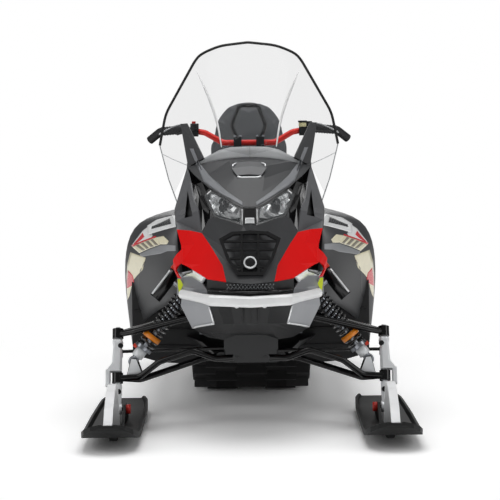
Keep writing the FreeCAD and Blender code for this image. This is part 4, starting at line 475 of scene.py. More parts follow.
# The highlight strips' corners stand 60 mm ahead of the hood, to be laid on it from the front.
STRIP_OUT = [(229, -850, 1056), (199, -898, 988), (172, -1046, 934), (95, -1209, 889), (25, -1296, 852)]
STRIP_IN = [(214, -861, 1056), (192, -920, 1002), (148, -1020, 953), (82, -1189, 901), (23, -1278, 864)]
project("hood_highlight_strips", both(ruled(STRIP_OUT, STRIP_IN, 5, 10)), "hood_mask", hood_highlight_grey, 1.0, 1.2, True)
scoop_lip = subdivided([(-44, -1042, 953), (-30, -1046, 949), (30, -1046, 949), (44, -1042, 953)], 6)
build_solid("scoop_lip", [sweep(scoop_lip, 0.0042, 10)], bright_plate)
scoop_edge = subdivided([(62, -1000, 990), (60, -988, 997), (46, -972, 1003)], 4)
SCOOP_EDGE_RADII = [0.001] + [0.0035] * 7 + [0.001]
build("scoop_corners", both(sweep(scoop_edge, SCOOP_EDGE_RADII)), bright_plate, closed=True)

# Behind each fairing's opening stands a black tray, a little inside the fairing's slope.
VENT_OUT = [(237, 912), (206, 814), (198, 794)]
VENT_IN = [(237, 912), (248, 850), (254, 788)]


def behind_fairing(corners):
    """Corners (x, z) in mm, each set on the plane 24 mm behind the fairing's face: y is -1027,
    plus 2.8 for each mm outwards of x 210, plus 0.65 for each mm above z 850."""
    return [(x, -1027 + 2.8 * (x - 210) + 0.65 * (z - 850), z) for x, z in corners]


build("fairing_trays", both(ruled(behind_fairing(VENT_OUT), behind_fairing(VENT_IN), 5, 6)), black_moulding)
# Gussets close the corner between each horn of the hood and the top of the fairing.
gusset = ruled([(240, -806, 1000), (241, -806, 936)], [(206, -826, 980), (206, -826, 930)], 3, 3)
build("horn_gussets", both(gusset), hood_grey)

# The block between the lamps: a gloss black cover with a bright clip at its foot and two ribs.
cover = facing([(23, 846), (24, 790)], [(-23, 846), (-24, 790)], 7, 8)
project("nose_cover", [cover], "nose_fascia", gloss_moulding, 0.6, 1.0)
clip = facing([(17, 809), (17, 787)], [(-17, 809), (-17, 787)], 7, 3)
project("nose_clip", [clip], "nose_fascia", bright_plate, 1.6, 1.2)
nose_rib = subdivided([(27, -1251, 841), (27, -1251, 787)], 1)
build_solid("nose_ribs", both(sweep(nose_rib, 0.0016, up=(0, 1, 0))), bright_plate)

# ------------------------------------------------------------------ the headlamps
# Each lamp is a black tub with a clear cover. Inside are a facetted reflector of vapour-chromed
# plastic, a dark projector lens and a white light guide at the outer corner.

# Vapour chrome is a bright mirror, the projector's glass is dark and wet, and the guide glows pale.
chrome = finish("vapour_chromed_reflector", "f2f4f6", 0.2, metal=0.9, relief=0.02)
projector_glass = finish("dark_projector_glass", "2a2b2e", 0.08, coat=1.0, relief=0.0)
light_guide = finish("white_light_guide", "ffffff", 0.2, coat=0.5, uneven=0.0, relief=0.0)
dress(["headlamp_housings"], gloss_moulding, 1.0)
LAMP_OUTLINE = np.array([(25, 782), (130, 809), (165, 886), (144, 905), (24, 837)]) / 1000
LAMP_PLANE = (-1.517, 0.78, 0.32)       # y of the cover = first + second * x + third * z
PROJECTOR = np.array((0.102, 0.862))    # x and z of its middle
PROJECTOR_RADIUS = 0.0135
PROJECTOR_BULGE = 0.010
BOWL_HOLE = 0.12                        # share of each spoke that the projector takes up
BOWL_BACK = 0.008                       # from the cover to the bowl's rim


def lamp_depth(x, z, behind):
    """y of a place `behind` metres behind the lamp's cover."""
    return LAMP_PLANE[0] + LAMP_PLANE[1] * x + LAMP_PLANE[2] * z + behind


def reflector_bowl(centre, share, sectors, rings, deep, ripple):
    """A facetted bowl: spokes run from a centre to `share` of the way to the lamp's outline, and
    each ring is set back by `deep` at the centre, less towards the rim, plus or minus a ripple."""
    angle = np.linspace(0, 2 * np.pi, sectors, endpoint=False)
    spoke = np.stack([np.cos(angle), np.sin(angle)], 1)
    a, b = LAMP_OUTLINE, np.roll(LAMP_OUTLINE, -1, 0)
    edge = b - a
    cross = spoke[:, None, 0] * edge[None, :, 1] - spoke[:, None, 1] * edge[None, :, 0]
    gap = a - centre
    reach = (gap[:, 0] * edge[:, 1] - gap[:, 1] * edge[:, 0])[None] / cross
    on_edge = (gap[None, :, 0] * spoke[:, None, 1] - gap[None, :, 1] * spoke[:, None, 0]) / cross
    hit = np.where((reach > 0) & (on_edge >= 0) & (on_edge <= 1), reach, np.inf).min(1)
    t = np.linspace(BOWL_HOLE, 1, rings)[:, None]
    x = centre[0] + spoke[None, :, 0] * hit * share * t
    z = centre[1] + spoke[None, :, 1] * hit * share * t
    wave = ripple * (-1.0) ** (np.arange(rings)[:, None] + np.arange(sectors)[None])
    return np.stack([x, lamp_depth(x, z, deep * (1 - t ** 2) + BOWL_BACK + wave), z], 2)


bowl = reflector_bowl(PROJECTOR, share=0.84, sectors=18, rings=6, deep=0.034, ripple=0.0045)
build("reflectors", both(bowl), chrome, closed=True, smooth=False)
# The projector's lens is a dome: rows rise from its rim to its top, and columns go round it.
rise = np.linspace(0, np.pi / 2, 7)[:, None]
spin = np.linspace(0, 2 * np.pi, 24, endpoint=False)[None]
dome_x = PROJECTOR[0] + PROJECTOR_RADIUS * np.cos(rise) * np.cos(spin)
dome_z = PROJECTOR[1] + PROJECTOR_RADIUS * np.cos(rise) * np.sin(spin)
dome_y = lamp_depth(dome_x, dome_z, 0.022) - PROJECTOR_BULGE * np.sin(rise) * np.ones_like(spin)
build("projectors", both(np.stack([dome_x, dome_y, dome_z], 2)), projector_glass, closed=True)
GUIDE_ENDS = [(156, 891), (141, 903)]
guide = subdivided([(x, 1000 * lamp_depth(x / 1000, z / 1000, 0.004), z) for x, z in GUIDE_ENDS], 3)
build_solid("light_guides", both(sweep(guide, 0.0042)), light_guide)

# ------------------------------------------------------------------ the side panels
# The outer panels are moulded of charcoal thermoplastic. Their upper skin is light grey, and a
# printed film with cream, taupe and red chevrons is laid on it under a clear coat.

# The panels' grain makes them dull, and the films and the skin shine through their clear coat.
panel_charcoal = finish("grained_charcoal_thermoplastic", "333436", 0.46, grain_mm=0.9, patch_mm=140,
                        relief=0.22)
skin_grey = finish("gloss_light_grey_thermoplastic", "eff0f0", 0.3, coat=0.4, relief=0.03)
film_red = finish("red_printed_film", "d81226", 0.28, coat=0.6, uneven=0.04, relief=0.02)
film_cream = finish("cream_printed_film", "ece5c6", 0.3, coat=0.5, uneven=0.10, patch_mm=22, relief=0.02)
film_taupe = finish("taupe_printed_film", "857d6c", 0.3, coat=0.5, uneven=0.12, patch_mm=22, relief=0.02)
fold_grey = finish("metallic_mid_grey_thermoplastic", "8b8d90", 0.36, metal=0.2, relief=0.05)
rim_black = finish("black_edge_beading", "161719", 0.4, coat=0.2, relief=0.05)
vent_mesh = finish("black_expanded_steel_mesh", "3c3e41", 0.35, metal=0.6, relief=0.04)
SHELL_WALL = 4                          # mm


def shell(name, grids, node, material):
    """A moulded panel that stands in for a CAD node: rows of points on its outer face, smoothed
    between them with its corners kept, and SHELL_WALL deep."""
    piece = build(name, grids, material)
    smooth = piece.modifiers.new("smooth", "SUBSURF")
    smooth.levels = smooth.render_levels = 2
    smooth.boundary_smooth = "PRESERVE_CORNERS"
    thicken(piece, SHELL_WALL)
    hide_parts(node)


# Rows go rearwards along the machine. Columns go from the top edge down: (x, y, z) in mm.
PANEL_ROWS = [
    [(273, -1050, 757), (278, -960, 712), (270, -915, 650), (258, -900, 590), (246, -890, 500)],
    [(286, -850, 806), (332, -838, 760), (356, -832, 660), (338, -842, 560), (302, -852, 468)],
    [(296, -700, 808), (394, -644, 768), (446, -622, 672), (446, -612, 540), (396, -602, 396)],
    [(294, -560, 808), (462, -540, 770), (506, -500, 668), (504, -480, 500), (474, -460, 314)],
    [(296, -430, 806), (468, -430, 768), (512, -430, 612), (514, -420, 480), (490, -400, 224)],
    [(290, -300, 804), (444, -300, 760), (488, -300, 600), (492, -300, 480), (470, -300, 300)],
    [(264, -270, 796), (282, -270, 730), (275, -270, 600), (275, -270, 480), (275, -270, 306)],
]
for label, grids in sided([np.array(PANEL_ROWS, float) / 1000]):
    shell("side_shell_" + label, grids, "side_panel_" + label, panel_charcoal)

# Each film is a ruled strip: its material, how far off the panel, and its two edges as (x, z).
FILMS = [
    ("upper_skins", skin_grey, 0.4, [(404, 724), (398, 750), (424, 730), (468, 674)],
     [(396, 712), (380, 716), (388, 706), (462, 664)]),
    ("upper_films", film_cream, 0.5, [(362, 713), (418, 689), (470, 663)],
     [(345, 688), (396, 665), (438, 642)]),
    ("film_points", film_cream, 0.5, [(362, 713), (333, 721), (311, 704)],
     [(345, 688), (331, 689), (318, 691)]),
    ("film_lines", film_red, 1.5, [(366, 718), (418, 695), (474, 668)],
     [(364, 713), (417, 690), (470, 663)]),
    ("skin_wedges", film_red, 1.5, [(424, 722), (440, 702), (468, 671)],
     [(416, 708), (432, 693), (462, 670)]),
    ("fold_bands", fold_grey, 0.4, [(283, 690), (316, 690), (344, 686), (396, 662), (436, 640)],
     [(283, 668), (318, 664), (345, 652), (392, 640), (430, 628)]),
    ("groove_lines", rim_black, 0.4, [(411, 612), (437, 563), (440, 471), (456, 432)],
     [(416, 612), (442, 564), (445, 472), (461, 434)]),
    ("lower_films", film_cream, 0.5, [(478, 640), (494, 590), (499, 540), (500, 500), (498, 440)],
     [(410, 628), (424, 578), (452, 548), (470, 525), (488, 460)]),
    ("lower_chevrons", film_red, 1.8, [(490, 566), (499, 520), (500, 488)],
     [(470, 548), (464, 524), (474, 506)]),
]
film_edges = {}
for name, material, lift, left, right in FILMS:
    film_edges[name] = (left, right)
    for label, grids in sided([facing(left, right, 9, 8)]):
        project(name + "_" + label, grids, "side_shell_" + label, material, lift, 0.3)

# Slanted bars across the upper film and across the groove. Columns: share along it where a bar
# starts and ends.
UPPER_BARS = [(0.16, 0.26), (0.34, 0.46), (0.54, 0.66), (0.74, 0.86)]
GROOVE_BARS = [(0.06, 0.17), (0.25, 0.34)]
BAR_SLANT = 0.07                        # of the strip's length, between the two ends of a bar


def bars(left, right, spans):
    """Bars across a ruled strip between two lines of (x, z): each runs from its span of the one
    edge to the span BAR_SLANT further back on the other, just inside both."""
    a, b = (subdivided([(x, AHEAD_Y, z) for x, z in edge], 20) for edge in (left, right))
    at = np.linspace(0, 1, len(a))
    share = np.linspace(0.06, 0.94, 6)[None, :, None]
    grids = []
    for start, end in spans:
        t = np.linspace(start, end, 5)
        top = np.stack([np.interp(t, at, a[:, k]) for k in range(3)], 1)
        foot = np.stack([np.interp(t - BAR_SLANT, at, b[:, k]) for k in range(3)], 1)
        grids.append(top[:, None] * (1 - share) + foot[:, None] * share)
    return grids


film_bars = bars(*film_edges["upper_films"], UPPER_BARS) + bars(*film_edges["groove_lines"], GROOVE_BARS)
for label, grids in sided(film_bars):
    project("film_bars_" + label, grids, "side_shell_" + label, film_taupe, 1.6, 0.3)

# The vent's frame runs round the opening, and an expanded mesh of crossing wires lies in it.
FRAME_OUT = [(288, 800), (279, 764), (398, 719), (404, 750), (366, 774), (288, 800)]
FRAME_IN = [(308, 788), (300, 769), (387, 739), (385, 750), (352, 766), (308, 788)]
WIRES = 11
WIRE_STEP = (7.5, -3.8, -2.7)           # mm from wire to wire: along, and at their tops and feet
WIRE_WIDE = 1.6
WIRE_SHIFT = 5                          # how far a wire's top and foot stand apart
frame_grid = facing(FRAME_OUT, FRAME_IN, 4, 8)
# The panel has no hole here: a gloss black sheet laid on it inside the frame is painted shade for the vent's
# opening.
tray = facing([(308, 788), (352, 766), (385, 750)], [(300, 769), (345, 754), (387, 739)], 5, 8)
lattice = []
for k in range(WIRES):
    x, top, low = (first + k * step for first, step in zip((305, 787, 770), WIRE_STEP))
    for start, end in ((x, x + WIRE_SHIFT), (x + WIRE_SHIFT, x)):
        inner, outer = ([(start + out, top), (end + out, low)] for out in (0, WIRE_WIDE))
        lattice.append(facing(inner, outer, 2, 3))
# The tray layer is that painted shade.
for name, layer, material, lift, thick in (
        ("vent_frame_", [frame_grid], skin_grey, 1.6, 3.0),
        ("vent_tray_", [tray], gloss_moulding, 0.3, 0.4),
        ("vent_mesh_", lattice, vent_mesh, 1.0, 0.8)):
    for label, grids in sided(layer):
        project(name + label, grids, "side_shell_" + label, material, lift, thick)


def upright_slab(columns, near, far):
    """A band round an upright slab between two values of y. Its columns are x, lower edge and
    upper edge in mm, and its rows run along the near foot, the far foot, the far top, the near
    top and back to the first."""
    corners = ((near, 1), (far, 1), (far, 2), (near, 2), (near, 1))
    return np.array([[(column[0], y, column[edge]) for column in columns] for y, edge in corners]) / 1000


# Toe guards of black plastic close each foot well from ahead, from the tunnel to the panel.
TOE_GUARD = [(205, 191, 470), (290, 192, 500), (365, 197, 520), (430, 216, 540), (474, 236, 520)]
build("toe_guards", both(upright_slab(TOE_GUARD, -548, -544)), black_moulding, smooth=False)
guard_ribs = []
for z in (262, 330, 398):
    guard_rib = subdivided([(215, -550, z), (365, -550, z + 3), (462, -550, z + 10)], 3)
    guard_ribs += both(sweep(guard_rib, 0.004, 6))
build("toe_guard_ribs", guard_ribs, black_moulding, closed=True)

# Inner fenders of black plastic part the engine bay from the shocks. They are such slabs set
# lengthwise: y, lower edge and upper edge, and then x and y are exchanged.
LINER = [(-1090, 560, 690), (-1020, 480, 780), (-960, 470, 880), (-880, 470, 945), (-700, 420, 960)]
build("inner_fenders", both(upright_slab(LINER, 184, 188)[..., [1, 0, 2]]), black_moulding, smooth=False)


# ------------------------------------------------------------------ the windshield
# A thermoformed sheet of clear polycarbonate with a black rubber channel along its free edge, and
# two clear deflectors that are screwed on below it.
def clear_sheet(name, code, tint):
    """Clear sheet that lets light straight through, with a sheen on its faces. tint is its alpha."""
    made = bpy.data.materials.new(name)
    made.use_nodes = True
    shader = made.node_tree.nodes["Principled BSDF"]
    shader.inputs["Base Color"].default_value = linear(code)
    shader.inputs["Roughness"].default_value = 0.03
    shader.inputs["IOR"].default_value = 1.45
    shader.inputs["Alpha"].default_value = tint
    made.surface_render_method = "BLENDED"
    return made


# The sheet is polished, so it shows as a faint smoke tint and a few sharp highlights.
smoke_sheet = clear_sheet("smoke_tinted_polycarbonate_sheet", "34373a", 0.085)
lens_sheet = clear_sheet("clear_polycarbonate_lens", "e6ecf0", 0.04)
SHEET_WALL = 3                          # mm
dress(["windshield"], smoke_sheet)
dress(["headlamp_lenses"], lens_sheet)
# The shield's foot is screwed to a grey moulded flange that rises behind it in a low arch.
flange_grey = finish("grained_pale_grey_flange_moulding", "cfd1d3", 0.45, grain_mm=0.8, relief=0.15)
FLANGE_TOP = [(0, -810, 1062), (70, -804, 1060), (115, -796, 1049), (160, -789, 1026), (226, -784, 996)]
FLANGE_FOOT = [(0, -815, 1008), (70, -812, 1008), (115, -805, 1004), (160, -798, 998), (226, -792, 970)]
thicken(build("shield_flange", both(ruled(FLANGE_TOP, FLANGE_FOOT, 4, 6)), flange_grey), SHEET_WALL)
# Each deflector fills the room between the shield's side, the hood and the side panel's top.
DEFLECTOR_IN = [(352, -562, 1064), (324, -640, 970), (296, -722, 880), (268, -770, 816)]
DEFLECTOR_OUT = [(354, -558, 1064), (319, -590, 930), (285, -620, 838), (277, -640, 812)]
deflectors = build("deflector_sheets", both(ruled(DEFLECTOR_IN, DEFLECTOR_OUT, 4, 6)), smoke_sheet)
thicken(deflectors, SHEET_WALL)
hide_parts("side_deflectors")


def resample(path, count):
    """A path walked again in `count` points at even distances."""
    path = np.asarray(path, float)
    walked = np.concatenate([[0], np.linalg.norm(np.diff(path, axis=0), axis=1).cumsum()])
    at = np.linspace(0, walked[-1], count)
    return np.stack([np.interp(at, walked, path[:, k]) for k in range(3)], 1)


def rounded(points, cut, steps=6):
    """A polyline in mm, in metres and with rounded corners: each is a quadratic curve that leaves
    the sides `cut` metres from the corner, and leans on the corner itself."""
    points = np.asarray(points, float) / 1000
    out = [points[0]]
    for before, corner, after in zip(points, points[1:], points[2:]):
        a = corner + (before - corner) * min(cut / np.linalg.norm(before - corner), 0.5)
        b = corner + (after - corner) * min(cut / np.linalg.norm(after - corner), 0.5)
        for t in np.linspace(0, 1, steps):
            out.append(a * (1 - t) ** 2 + corner * 2 * t * (1 - t) + b * t ** 2)
    return np.array(out + [points[-1]])


# The rubber channel is matt. Along each fold of the sheet, a white tube stands for the pale,
# sharp line of light that the fold gathers: a painted highlight.
edge_rubber = finish("extruded_black_rubber_edge_channel", "0b0b0c", 0.5, relief=0.1)
fold_highlight_paint = finish("painted_highlight_on_shield_fold", "ffffff", 0.12, coat=0.8, relief=0.0)
EDGE = [(354, -560, 1066), (331, -521, 1190), (268, -531, 1300), (206, -541, 1408), (180, -546, 1430),
        (110, -553, 1458), (0, -560, 1470)]
CHANNEL_RADIUS = 0.0052
edge_half = rounded(EDGE, 0.03)
edge_line = np.concatenate([edge_half, (edge_half * [-1, 1, 1])[-2::-1]])
build_solid("windshield_edge", [sweep(resample(edge_line, 90), CHANNEL_RADIUS, up=(0, 1, 0.2))], edge_rubber)
FOLD = [(206, -579, 1362), (190, -592, 1330), (152, -650, 1245), (120, -722, 1150), (106, -790, 1060)]
FOLD_AHEAD = 0.003                      # of the sheet's middle
FOLD_POINTS = 26
FOLD_RADIUS = 0.0048                    # at its widest, from where it thins out like a sine curve
fold_line = resample(rounded(FOLD, 0.06), FOLD_POINTS) - np.array((0, FOLD_AHEAD, 0))
fold_size = FOLD_RADIUS * np.sin(np.linspace(0.05, np.pi - 0.25, FOLD_POINTS)) ** 0.6
build("windshield_fold_highlights", both(sweep(fold_line, fold_size, 8, 0.4, up=(0, 1, 0))), fold_highlight_paint, closed=True)

# Where the deflectors lap the shield, a grey line shows, and so does each deflector's cut edge.
cut_edge = finish("cut_edge_of_polycarbonate_sheet", "b9bcbe", 0.4, relief=0.05)
build("deflector_edges", both(sweep(subdivided(DEFLECTOR_OUT, 5), 0.0022, 6)), cut_edge, closed=True)
SEAM = [(236, -798, 990), (296, -690, 1012), (340, -598, 1030)]
build("shield_seams", both(sweep(subdivided(SEAM, 5), 0.0014, 6)), cut_edge, closed=True)

# ------------------------------------------------------------------ the controls
# The bar is anodised red aluminium. It carries rubber grips, a brake with its fluid reservoir, a
# switch cluster and a hand hoop of black coated steel on the riser.

# Anodised red keeps its colour in the light, grips are dull and grained, nylon is half matt, and
# the tumbled levers have soft, worn edges of light.
bar_red = finish("red_anodised_aluminium_bar", "e61c06", 0.4, metal=0.2, coat=0.1, relief=0.04)
grip_rubber = finish("moulded_grip_rubber", "17181a", 0.6, grain_mm=1.2, relief=0.4)
control_black = finish("moulded_black_nylon_control", "121315", 0.4, relief=0.15)
fluid_cup = finish("translucent_amber_fluid_cup", "fbeeb8", 0.3, coat=0.3, relief=0.02)
red_button = finish("red_moulded_button", "cf2a1c", 0.35, coat=0.3, relief=0.02)
console_black = finish("grained_black_console_moulding", "222326", 0.5, grain_mm=0.9, relief=0.25)
lever_alloy = finish("tumbled_cast_aluminium_lever", "c4c6c8", 0.3, metal=0.6, grain_mm=0.8, relief=0.08)
dress(["handlebar"], bar_red)
dress(["grips"], grip_rubber)
dress(["hand_controls", "steering_post"], control_black, 1.0)
dress(["fuel_console"], console_black, 2.0)
# Rows go rearwards from the windshield's foot. Columns go out from the middle: (x, y, z) in mm.
DECK_ROWS = [
    [(0, -872, 1006), (110, -866, 1004), (228, -792, 980), (262, -792, 806)],
    [(0, -780, 1040), (100, -776, 1036), (220, -730, 986), (262, -700, 802)],
    [(0, -640, 960), (110, -640, 950), (222, -600, 920), (262, -560, 802)],
    [(0, -500, 880), (110, -490, 884), (216, -470, 878), (262, -430, 802)],
    [(0, -440, 862), (110, -440, 866), (206, -420, 860), (262, -306, 800)],
]
deck_half = np.array(DECK_ROWS, float) / 1000
deck_grid = np.concatenate([mirrored(deck_half)[:, :-1], deck_half], 1)
shell("gauge_deck", [deck_grid], "gauge_console", console_black)


def rounded_box(low, high, cut):
    """A grid round the z axis of a box given in mm: rows of eight corners, with its upright edges
    cut by `cut`, and its lowest and highest rows drawn in to nine tenths."""
    (x0, y0, z0), (x1, y1, z1) = low, high
    ring = np.array([(x0 + cut, y0), (x1 - cut, y0), (x1, y0 + cut), (x1, y1 - cut),
                     (x1 - cut, y1), (x0 + cut, y1), (x0, y1 - cut), (x0, y0 + cut)])
    middle = np.array(((x0 + x1) / 2, (y0 + y1) / 2))
    rows = []
    for z, share in ((z0, 0.9), (z0 + cut * 0.5, 1.0), (z1 - cut * 0.5, 1.0), (z1, 0.9)):
        rows.append(np.column_stack([middle + (ring - middle) * share, np.full(len(ring), z)]))
    return np.array(rows) / 1000


# Moulded boxes on the bar: material, two opposite corners in mm, and how far the edges are cut.
BAR_BOXES = [
    ("fluid_cup", fluid_cup, (204, -358, 1133), (235, -328, 1150), 5),
    ("fluid_cup_lid", control_black, (201, -361, 1150), (238, -325, 1158), 6),
    ("switch_cluster", control_black, (-238, -356, 1118), (-204, -330, 1150), 5),
    ("switch_cap", red_button, (-232, -352, 1150), (-216, -338, 1159), 4),
]
for name, material, low, high, cut in BAR_BOXES:
    build_solid(name, [rounded_box(low, high, cut)], material, "steering")
KEY_FEET = (1124, 1133, 1142)           # z of the lower edge of each key on the cluster
keys = [rounded_box((-230, -359, z), (-212, -355, z + 6), 1.5) for z in KEY_FEET]
build_solid("switch_keys", keys, grip_rubber, "steering")
LEVER = [(240, -352, 1132), (268, -374, 1152), (322, -368, 1132), (366, -344, 1108)]
LEVER_RADII = [0.0035] + [0.0058] * 14 + [0.0035]
lever = resample(rounded(LEVER, 0.03), len(LEVER_RADII))
build_solid("lever_blades", both(sweep(lever, LEVER_RADII, 10, 0.6)), lever_alloy, "steering")
clamp_bolts = []
for x in (-58, -34, 34, 58):
    bolt = np.array([(x, -364, 1094), (x, -364, 1098), (x, -364, 1101)]) / 1000
    clamp_bolts.append(sweep(bolt, [0.0055, 0.0055, 0.0035], 6, up=(0, 1, 0)))
build_solid("clamp_bolts", clamp_bolts, zinc, "steering", smooth=False)

# Raised ribs ring each grip along its length.
GRIP_RIBS = 9
GRIP_START = np.array((0.262, -0.318, 1.126))
GRIP_RUN = np.array((0.100, 0.040, -0.008))
RIB_STATIONS = np.array([-0.0018, -0.0008, 0.0008, 0.0018])[:, None]
RIB_RADII = [0.0172, 0.0186, 0.0186, 0.0172]
grip_ribs = []
for k in range(GRIP_RIBS):
    centre = GRIP_START + GRIP_RUN * (k + 0.5) / GRIP_RIBS
    grip_ribs += both(sweep(centre + unit(GRIP_RUN) * RIB_STATIONS, RIB_RADII, 20))
build("grip_ribs", grip_ribs, grip_rubber, "steering", closed=True)

# ------------------------------------------------------------------ the seat and the backrest
# Foam under vinyl: the seat has a rider's place and a raised one for the passenger, and the
# backrest is a thick pad. Both are sewn covers that are stapled to a board below.

# The vinyl's embossed grain breaks up its shine.
seat_vinyl = finish("grained_black_seat_vinyl", "26272a", 0.5, grain_mm=1.3, relief=0.35)
pad_vinyl = finish("mid_grey_backrest_vinyl", "505255", 0.55, grain_mm=1.3, relief=0.35)
CLOTH_FRAMES = 20
PRESSURE = 4.0
SWELL = 0.012


def places(mesh):
    """The places of a mesh's vertices, one row for each."""
    spots = np.zeros(len(mesh.vertices) * 3)
    mesh.vertices.foreach_get("co", spots)
    return spots.reshape(-1, 3)


def evaluated(piece):
    """A new mesh of a piece with its modifiers applied, as they stand at this frame."""
    return bpy.data.meshes.new_from_object(piece.evaluated_get(bpy.context.evaluated_depsgraph_get()))


def stuffed(name, node, material, voxel_mm, shrink):
    """A cushion from a CAD solid: a copy of it, made smaller about its middle by `shrink`, is
    voxel remeshed and blown up as cloth, with no point further than SWELL from its start."""
    source = nodes[node]
    piece = source.copy()
    piece.data = source.data.copy()
    piece.name = piece.data.name = name
    piece.parent = None
    piece.modifiers.clear()
    scene.collection.objects.link(piece)
    placed = np.array(source.matrix_world)
    spots = places(piece.data) @ placed[:3, :3].T + placed[:3, 3]
    middle = (spots.min(0) + spots.max(0)) / 2
    piece.data.vertices.foreach_set("co", (middle + (spots - middle) * np.array(shrink)).ravel())
    piece.matrix_world = Matrix.Identity(4)
    bpy.context.view_layer.objects.active = piece
    remesh = piece.modifiers.new("remesh", "REMESH")
    remesh.mode = "VOXEL"
    remesh.voxel_size = voxel_mm / 1000
    bpy.context.view_layer.update()
    case = evaluated(piece)
    piece.modifiers.clear()
    piece.data = case
    cloth = piece.modifiers.new("cloth", "CLOTH")
    cloth.settings.use_pressure = True
    cloth.settings.uniform_pressure_force = PRESSURE
    cloth.settings.effector_weights.gravity = 0
    cloth.settings.quality = 5
    cloth.point_cache.frame_start = 1
    cloth.point_cache.frame_end = CLOTH_FRAMES
    for number in range(1, CLOTH_FRAMES + 1):
        scene.frame_set(number)
    start = places(case)
    moved = places(evaluated(piece)) - start
    piece.modifiers.clear()
    scene.frame_set(1)
    length = np.linalg.norm(moved, axis=1)[:, None]
    moved *= np.minimum(1, SWELL / np.maximum(length, 1e-9))
    case.vertices.foreach_set("co", (start + moved).ravel())
    case.materials.clear()
    case.materials.append(material)
    case.polygons.foreach_set("use_smooth", np.ones(len(case.polygons), bool))
    smooth = piece.modifiers.new("subdivision", "SUBSURF")
    smooth.levels = smooth.render_levels = 1
    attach(piece, "chassis")
    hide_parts(node)


stuffed("seat_cushion", "seat", seat_vinyl, voxel_mm=6, shrink=(0.97, 0.992, 0.985))
stuffed("backrest_cushion", "backrest", pad_vinyl, voxel_mm=5, shrink=(0.96, 0.80, 0.97))

# ------------------------------------------------------------------ the rack and the tail
# The rack and the rear bumper are black coated steel tube. The tail lamp has a red lens of
# acrylic, which is deep in colour and glossy.
tail_red = finish("red_acrylic_lens", "a80f12", 0.2, coat=0.8, relief=0.02)
dress(["rear_rack", "rear_bumper"], powder_black)
dress(["tail_lamp"], tail_red, 1.5)

# ------------------------------------------------------------------ the studio
# A sweep of white paper under soft boxes. The paper is matte and takes the machine's shadow near
# it, and further out it goes over to plain white.
WHITE = (1, 1, 1, 1)
CAMERA_PLACE = (0.0, -8.72, 1.19)
CAMERA_LENS = 147.6                     # mm, on a sensor of 36
LOOK_DOWN = 3.82                        # degrees
ROLL = -0.6
camera = bpy.data.objects.new("camera", bpy.data.cameras.new("camera"))
scene.collection.objects.link(camera)
camera.data.lens = CAMERA_LENS
camera.data.sensor_width = 36
camera.matrix_world = (Matrix.Translation(CAMERA_PLACE)
                       @ Matrix.Rotation(math.radians(90 - LOOK_DOWN), 4, "X")
                       @ Matrix.Rotation(math.radians(ROLL), 4, "Z"))
scene.camera = camera

AMBIENT = 0.2                           # of the sky as the machine sees it: the lens sees it white
world = bpy.data.worlds.new("studio")
scene.world = world
world.use_nodes = True
sky = world.node_tree
sky.nodes.clear()
seen = add(sky, "ShaderNodeLightPath")
either = add(sky, "ShaderNodeMath", {"operation": "MAXIMUM"},
             {0: seen.outputs["Is Camera Ray"], 1: seen.outputs["Is Transmission Ray"]})
ambient = add(sky, "ShaderNodeBackground", {"Color": WHITE, "Strength": AMBIENT})
backdrop = add(sky, "ShaderNodeBackground", {"Color": WHITE, "Strength": 1.0})
blend_sky = add(sky, "ShaderNodeMixShader", None, {
    0: either.outputs[0], 1: ambient.outputs[0], 2: backdrop.outputs[0]})
add(sky, "ShaderNodeOutputWorld", None, {"Surface": blend_sky.outputs[0]})


def soft_lamp(name, place, aim, size, watts):
    """A rectangular soft box that looks at a point."""
    lamp = bpy.data.objects.new(name, bpy.data.lights.new(name, "AREA"))
    scene.collection.objects.link(lamp)
    lamp.data.shape = "RECTANGLE"
    lamp.data.size, lamp.data.size_y = size
    lamp.data.energy = watts
    lamp.location = place
    lamp.rotation_euler = (Vector(aim) - Vector(place)).to_track_quat("-Z", "Y").to_euler()


soft_lamp("overhead_box", (0, -0.6, 4.2), (0, -0.4, 0.5), (3.0, 3.6), 92)
soft_lamp("left_box", (-3.6, -2.6, 2.2), (0, -0.8, 0.6), (1.4, 2.4), 26)
soft_lamp("right_box", (3.6, -2.6, 2.2), (0, -0.8, 0.6), (1.4, 2.4), 26)
soft_lamp("rear_box", (0, 4.6, 2.6), (0, 0.4, 0.8), (3.0, 1.6), 40)

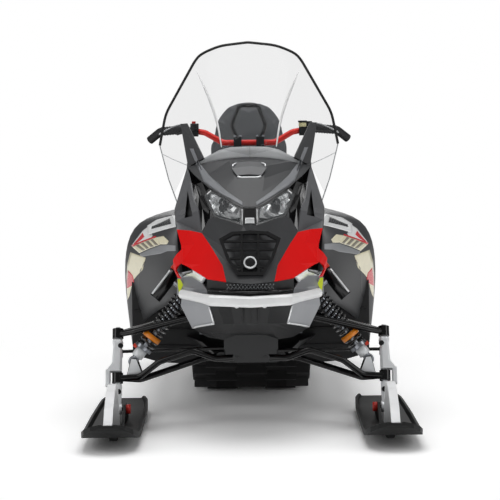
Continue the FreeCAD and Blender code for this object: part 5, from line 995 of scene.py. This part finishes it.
FLOOR_HALF = 9.0
SHADOW_REACH = (1.25, 2.3)              # half width and half length of the paper that stays matte
FADE = (0.8, 1.35)                      # shares of that reach where the white starts and is full
PAPER_GLOW = 0.36                       # light of the paper itself where nothing stands over it
SHADE_REACH = 0.9                       # how far off a thing may stand and still shade the paper
corners = [(x * FLOOR_HALF, y * FLOOR_HALF, 0) for x, y in ((-1, -1), (1, -1), (1, 1), (-1, 1))]
floor_mesh = bpy.data.meshes.new("floor")
floor_mesh.from_pydata(corners, [], [(0, 1, 2, 3)])
floor = bpy.data.objects.new("floor", floor_mesh)
scene.collection.objects.link(floor)
paper = bpy.data.materials.new("white_sweep_paper")
paper.use_nodes = True
floor_mesh.materials.append(paper)
tree = paper.node_tree
shader = tree.nodes["Principled BSDF"]
shader.inputs["Base Color"].default_value = linear("ffffff")
shader.inputs["Roughness"].default_value = 0.9
shader.inputs["Specular IOR Level"].default_value = 0.0
shader.inputs["Emission Color"].default_value = WHITE
where = add(tree, "ShaderNodeTexCoord").outputs["Object"]
# Ambient occlusion dims the paper's own glow where things stand near: painted shade that deepens the real
# shadow from the lamps.
painted_shade_occlusion = add(tree, "ShaderNodeAmbientOcclusion", {"Distance": SHADE_REACH, "samples": 12})
glow = add(tree, "ShaderNodeMath", {"operation": "MULTIPLY", 1: PAPER_GLOW}, {0: painted_shade_occlusion.outputs["AO"]})
tree.links.new(glow.outputs[0], shader.inputs["Emission Strength"])
share = add(tree, "ShaderNodeVectorMath", {"operation": "DIVIDE", 1: (*SHADOW_REACH, 1.0)}, {0: where})
reach = add(tree, "ShaderNodeVectorMath", {"operation": "LENGTH"}, {0: share.outputs[0]})
fade = add(tree, "ShaderNodeMapRange", {
    "From Min": FADE[0], "From Max": FADE[1], "interpolation_type": "SMOOTHSTEP"},
    {"Value": reach.outputs["Value"]})
white = add(tree, "ShaderNodeEmission", {"Color": WHITE, "Strength": 1.0})
laid = add(tree, "ShaderNodeMixShader", None, {
    0: fade.outputs[0], 1: shader.outputs[0], 2: white.outputs[0]})
tree.links.new(laid.outputs[0], tree.nodes["Material Output"].inputs["Surface"])
